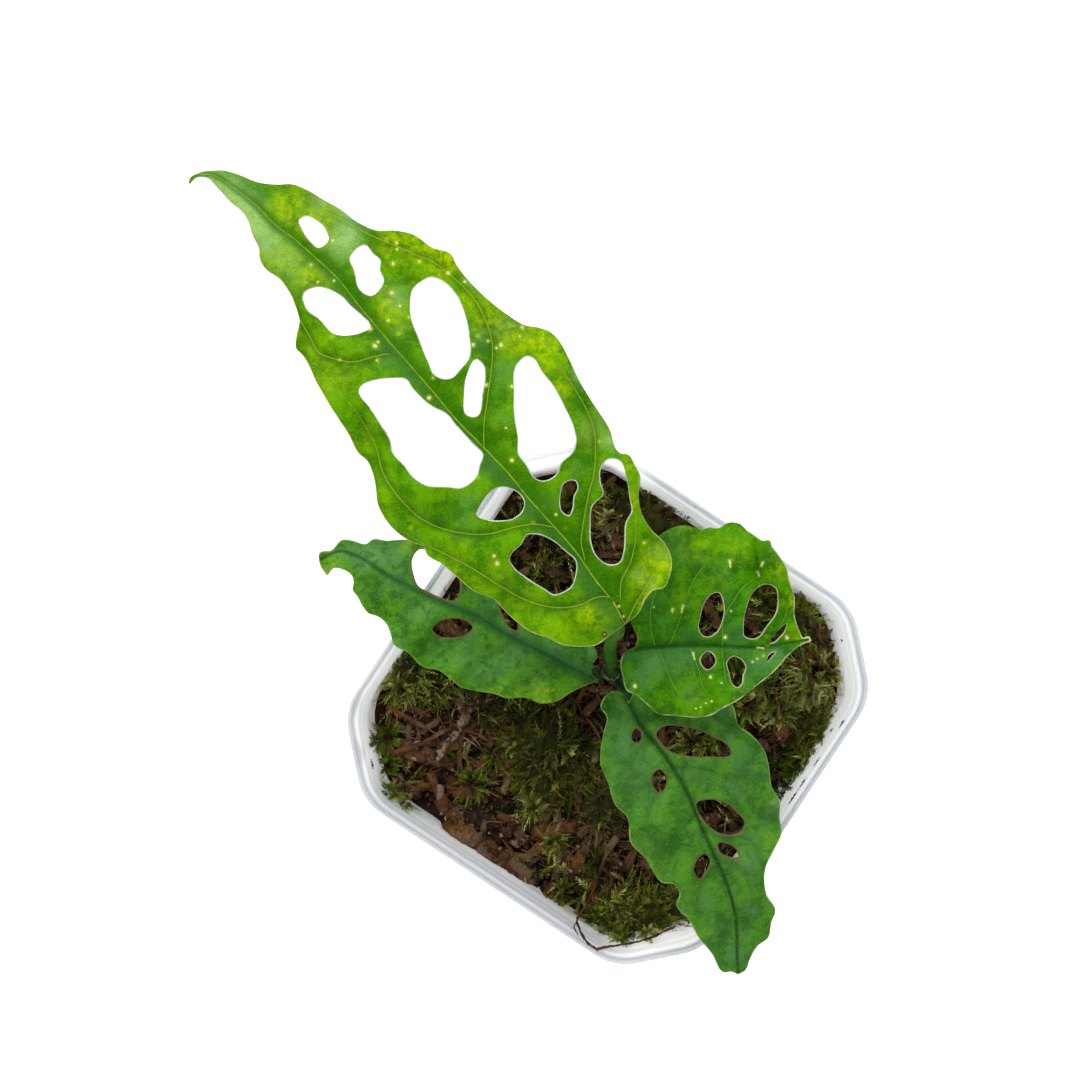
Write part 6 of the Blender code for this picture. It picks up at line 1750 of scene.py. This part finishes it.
def sprigs(roots, ways, lengths, leaf_lengths, shades, draw):
    """Sprigs as leaf diamonds. A stem runs root + way * length * t + bend * t^2. Leaf i leaves it at t_i, at i golden
    angles round it, leaning forward; it is leaf length * (0.45 + sin(pi * t^0.8) * 0.65) long and a quarter as wide."""
    count = len(roots)
    t = ((np.arange(SPRIG_LEAVES) + 0.5) / SPRIG_LEAVES)[None, :]
    bend = draw.normal(0, 0.35, (count, 1, 3)) * lengths[:, None, None] * (1, 1, 0.3) - (0, 0, 0.12 * MM)
    stem = roots[:, None] + ways[:, None] * (lengths[:, None] * t)[..., None] + bend * (t**2)[..., None]
    forward = unit(ways[:, None] * lengths[:, None, None] + 2 * bend * t[..., None])
    side = unit(np.cross(forward, np.array((0.37, 0.21, 0.9))))
    over = np.cross(side, forward)
    turn = np.arange(SPRIG_LEAVES)[None] * GOLDEN_ANGLE + draw.uniform(0, math.tau, (count, 1))
    radial = np.cos(turn)[..., None] * side + np.sin(turn)[..., None] * over
    lean = draw.uniform(0.35, 0.95, (count, 1)) + 0.9 * t**3
    reach = leaf_lengths[:, None] * (0.45 + 0.65 * np.sin(math.pi * t**0.8)) * draw.uniform(0.75, 1.2, turn.shape)
    out = radial * np.cos(lean)[..., None] + forward * np.sin(lean)[..., None]
    width = (0.125 * reach)[..., None] * unit(np.cross(out, forward))
    middle = stem + out * (0.42 * reach)[..., None] + forward * (0.05 * reach)[..., None]
    tip = stem + out * reach[..., None] - radial * (0.05 * reach)[..., None]
    points = np.stack((stem, middle + width, tip, middle - width), axis=2).reshape(-1, 3)
    kept_inside(points, 1.03 + wall_lean(points[:, 2] - SOIL_TOP))
    faces = np.arange(len(points)).reshape(-1, 4)
    tones = np.broadcast_arrays(shades[:, None, None], t[..., None], np.array((0, 0.5, 1, 0.5)))
    return points, faces, np.stack(tones, axis=-1).reshape(-1, 3)


moss_paint, start = new_paint("moss_green", Sheen_Weight=0.04)
shade, along, outward = start.attribute("tone").parts()
patch = start.place().noise(90.0, 2.0)
# Painted shade inside each sprig: darker towards its root and towards the inner end of each leaf
painted_inner_shade = 1 - (along * 0.65 + outward * 0.35).above(0.0, 0.75)
colour = coated(
    shade.above(0.20, 0.72).mixed((0.020, 0.034, 0.002), (0.185, 0.265, 0.006)),
    (shade.above(0.62, 0.90), (0.54, 0.57, 0.08)),
    (shade.above(0.86, 1.0), (0.82, 0.82, 0.30)),
    (shade.above(0.24, 0.08), (0.190, 0.125, 0.040)),
    (shade.above(0.04, 0.01), (0.40, 0.36, 0.19)),
    (patch.above(0.48, 0.66) * 0.6, (0.190, 0.155, 0.014)),
    (painted_inner_shade * 0.82, (0.010, 0.011, 0.002)),
)
connect(moss_paint, outward, 0.05 * MM, 0.3, Base_Color=colour, Roughness=0.62 + 0.2 * patch)

# %% The seven cushions
# Name, middle pixel, length, width and height in millimetres, the long axis's turn in degrees, and the mean shade
MOSS = (
    ("moss_left", (410, 665), 13, 10, 4.5, 118, 0.70), ("moss_centre", (546, 752), 28, 17, 5.0, 112, 0.33),
    ("moss_bottom", (644, 914), 27, 11, 4.5, 8, 0.60), ("moss_right", (807, 732), 16, 9, 5.0, 57, 0.62),
    ("moss_corner", (790, 624), 12, 12, 5.5, 40, 0.58), ("moss_top", (645, 517), 20, 9, 5.0, 150, 0.20),
    ("moss_middle", (606, 806), 13, 10, 4.0, 20, 0.26),
)


def cushion(middle, length, width, height, turn, draw):
    """The dark mound under a cushion's sprigs, as rings: an ellipse with lobes, 0.72 height * (1 - r^2)^0.6 thick at
    the share r, rough by seeded waves. Gives its points and faces and a function for places on it."""
    x0, y0, _ = seen(*middle, SOIL_TOP)
    turn = math.radians(turn) + VIEW_TURN
    along, across = np.array((math.cos(turn), math.sin(turn))), np.array((-math.sin(turn), math.cos(turn)))
    phases = draw.uniform(0, 6, 2)

    def place(angle, share):
        lobes = 1 + 0.09 * np.sin(3 * angle + phases[0]) + 0.07 * np.sin(5 * angle + phases[1])
        far = (np.cos(angle) * lobes * length / 2 * share)[..., None] * along
        flat = np.array((x0, y0)) + far + (np.sin(angle) * lobes * width / 2 * share)[..., None] * across
        flat = flat / np.maximum(reach_of(flat), 1)[..., None]
        rough = 1 + 0.28 * waves(flat, 3.4 * MM, 101)
        up = 0.2 * MM + 0.72 * height * np.maximum(1 - share**2, 0) ** 0.6 * rough
        return np.concatenate((flat, (soil_height(flat[..., 0], flat[..., 1]) + up)[..., None]), axis=-1)

    top = place(*np.broadcast_arrays(np.arange(48) / 48 * math.tau, np.linspace(1, 0.04, 14)[:, None]))
    foot = top[:1] - (0, 0, 0.9 * MM)
    rings = np.concatenate((foot, top))[None]
    base = foot[0].mean(axis=0)[None]
    return closed_rings(rings, base, place(np.array(0.0), np.array(0.0))[None]), place


def moss_piece(name, sprig_facts, draw, body=None, node=None):
    """One piece from sprigs and, on a cushion, the dark mound under them (points, walls, caps)."""
    points, leaves, tone = sprigs(*sprig_facts, draw)
    groups = [leaves]
    if body:
        groups = [np.concatenate((leaves, body[1] + len(points))), body[2] + len(points)]
        points = np.concatenate((points, body[0]))
        # the mound takes a dark tone and about half of the painted inner shade
        tone = np.concatenate((tone, np.broadcast_to((0.2, 0.3, 0.3), body[0].shape)))
    add_piece(name, points, groups, moss_paint, {"tone": tone}, node)


for index, (name, middle, length, width, height, turn, tone) in enumerate(MOSS):
    draw = np.random.default_rng(110 + index)
    body, place = cushion(middle, length * MM, width * MM, height * MM, turn, draw)
    count = int(0.85 * length * width)
    angle, share = draw.uniform(0, math.tau, count), np.sqrt(draw.uniform(0, 1, count)) * 0.97
    roots_at = place(angle, share) - (0, 0, 0.5 * MM)
    outwards = unit(place(angle, np.minimum(share + 0.1, 1.0)) - place(angle, share), 1e-9)
    way = outwards * (0.2 + 0.6 * share[:, None]) + (0, 0, 0.34) + draw.normal(0, 0.62, (count, 3)) * (1, 1, 0.35)
    shades = np.clip(tone + 0.3 * waves(roots_at, 7 * MM, 120) + draw.normal(0, 0.15, count), 0.05, 1)
    lengths, leaf_lengths = draw.uniform(2.6, 7.0, count) * MM, draw.uniform(0.6, 1.5, count) * MM
    moss_piece(name + "_sprigs", (roots_at, unit(way), lengths, leaf_lengths, shades), draw, body, name)

# %% Sprigs between the cushions
# Where moss is thick and where bark lies bare: pixel, radius in pixels and weight
MOSS_RICH = (
    (400, 690, 34, 1.0), (400, 780, 18, 0.9), (520, 720, 60, 0.9), (530, 815, 26, 1.0),
    (640, 915, 46, 1.0), (560, 880, 16, 0.8), (600, 800, 36, 0.8), (815, 750, 34, 1.0), (790, 690, 34, 0.9),
    (825, 675, 14, 0.7), (800, 610, 18, 1.0), (640, 505, 40, 1.0), (600, 620, 30, 0.5), (760, 600, 30, 0.6),
    (690, 600, 26, 0.3), (550, 560, 24, 0.4), (460, 590, 20, 0.4), (760, 720, 26, 0.6), (720, 740, 26, 0.6),
)
BARK_BARE = (
    (478, 845, 40, 1.3), (428, 755, 34, 1.0), (408, 718, 16, 0.8), (655, 872, 20, 1.2), (558, 828, 20, 0.9),
    (445, 790, 26, 0.8), (562, 862, 20, 0.5), (806, 655, 18, 0.9), (590, 850, 18, 0.5), (782, 700, 10, 0.5),
    (826, 648, 20, 1.2), (768, 744, 20, 1.2), (390, 786, 14, 1.0), (462, 728, 14, 1.2), (452, 629, 12, 1.0),
)


def pixels_of(places):
    """The pixels at which places are seen: `seen` turned round."""
    cos, sin = math.cos(VIEW_TURN), math.sin(VIEW_TURN)
    right = places[:, 0] * cos + places[:, 1] * sin + POT_OFFSET[0]
    up = -places[:, 0] * sin + places[:, 1] * cos - POT_OFFSET[1]
    depth = (EYE_HEIGHT - places[:, 2]) * PIXEL_SLOPE
    return FRAME_MIDDLE + np.column_stack((right / depth, -up / depth))


draw = np.random.default_rng(131)
flat = scattered(3400, draw, 0.985, 2.8 * MM)
places = np.column_stack((flat, soil_height(flat[:, 0], flat[:, 1]) - 0.3 * MM))
pixels = pixels_of(places)
chance = 0.22 + 0.75 * gathered(pixels, MOSS_RICH) - 0.9 * gathered(pixels, BARK_BARE)
chance = chance + 0.12 * waves(flat, 9 * MM, 132) + 0.4 * (reach_of(places) > 0.9)
places = places[draw.uniform(0, 1, len(places)) < chance]
count = len(places)
way = np.column_stack((draw.normal(0, 0.85, (count, 2)), draw.uniform(0.1, 0.6, count)))
way[:, :2] -= 0.5 * places[:, :2] / KEPT_HALF * (reach_of(places) > 0.85)[:, None]
shades = 0.40 + 0.6 * (reach_of(places) - 0.6) + 0.32 * waves(places, 11 * MM, 133) + draw.normal(0, 0.22, count)
lengths, leaf_lengths = draw.uniform(2.6, 8.0, count) * MM, draw.uniform(0.6, 1.5, count) * MM
moss_piece("moss_scattered", (places, unit(way), lengths, leaf_lengths, np.clip(shades, 0, 1)), draw)
print("scattered sprigs:", count)

# %% Tufts seen one by one
# Middle pixel, radius in pixels, and shade from dry brown through olive to pale yellow-green
TUFTS = (
    (400, 686, 20, 0.90), (437, 690, 14, 0.64), (482, 712, 15, 0.14), (386, 738, 13, 0.70), (396, 790, 10, 0.82),
    (388, 766, 9, 0.66), (472, 782, 14, 0.66), (514, 744, 12, 0.92), (495, 754, 12, 0.55), (582, 746, 14, 0.40),
    (534, 808, 11, 0.86), (553, 840, 11, 0.80), (562, 893, 10, 0.60), (598, 862, 11, 0.42), (604, 916, 12, 0.66),
    (650, 912, 14, 0.72), (678, 904, 12, 0.76), (799, 612, 13, 0.74), (816, 672, 22, 0.97), (797, 664, 14, 0.66),
    (773, 694, 16, 0.72), (748, 706, 14, 0.84), (825, 698, 12, 0.97), (819, 728, 16, 0.86), (797, 722, 12, 0.50),
    # The tuft at (692, 742), under the front leaf, is paler than its own colour: painted light under the leaf.
    (798, 764, 15, 0.68), (692, 742, 16, 0.87), (760, 602, 10, 0.45), (737, 674, 10, 0.62), (645, 502, 14, 0.10),
    (657, 510, 12, 0.60), (612, 520, 9, 0.97), (545, 574, 12, 0.48), (570, 500, 8, 0.5), (632, 925, 12, 0.6),
    (540, 700, 11, 0.80), (566, 722, 10, 0.72), (560, 770, 10, 0.78), (526, 776, 10, 0.70), (590, 776, 9, 0.70),
    (604, 812, 10, 0.78), (806, 690, 18, 0.99), (780, 712, 14, 0.96), (836, 668, 10, 0.86), (760, 684, 12, 0.95),
    (812, 756, 12, 0.84), (620, 908, 11, 0.95), (664, 922, 10, 0.90), (412, 672, 14, 0.90), (708, 746, 10, 0.80),
)
# Tufts that climb the pot's wall, 3 to 8 mm over the soil
CLIMBING = (
    (808, 768, 12, 0.66), (798, 774, 12, 0.50), (804, 758, 12, 0.74), (786, 792, 8, 0.40), (818, 750, 10, 0.72),
    (828, 734, 8, 0.66), (392, 806, 8, 0.80), (384, 792, 8, 0.66), (374, 742, 8, 0.62), (646, 934, 8, 0.80),
    (620, 932, 8, 0.70), (820, 640, 8, 0.12),
)
draw = np.random.default_rng(141)
sets = []
for index, (u, v, radius, shade) in enumerate(TUFTS + CLIMBING):
    count = int(3.4 * radius)
    climbs = index >= len(TUFTS)
    spread = radius * MM * 0.24
    heading, off = draw.uniform(0, math.tau, count), np.sqrt(draw.uniform(0, 1, count))
    round_middle = np.column_stack((np.cos(heading), np.sin(heading)))
    flat = seen(u, v, SOIL_TOP + 2 * MM)[:2] + round_middle * (0.45 * spread * off)[:, None]
    above = draw.uniform(3.0, 8.0, count) * MM if climbs else draw.uniform(0.4, 2.2, count) * MM
    kept_inside(flat, 1 + climbs * wall_lean(above))
    root = np.column_stack((flat, soil_height(flat[:, 0], flat[:, 1]) + above))
    way = np.column_stack((round_middle * (0.35 + 0.9 * off)[:, None], draw.uniform(0.1, 0.7, count)))
    way[:, :2] += draw.normal(0, 0.25, (count, 2))
    lengths = spread * draw.uniform(0.7, 1.35, count)
    sets.append((root, unit(way), lengths, np.clip(shade + draw.normal(0, 0.10, count), 0, 1)))
root, way, lengths, shades = (np.concatenate(rows) for rows in zip(*sets))
moss_piece("moss_tufts", (root, way, lengths, draw.uniform(0.5, 1.15, len(root)) * MM, shades), draw)
print("tufts:", len(sets), "with", len(root), "sprigs")

# %% [markdown]
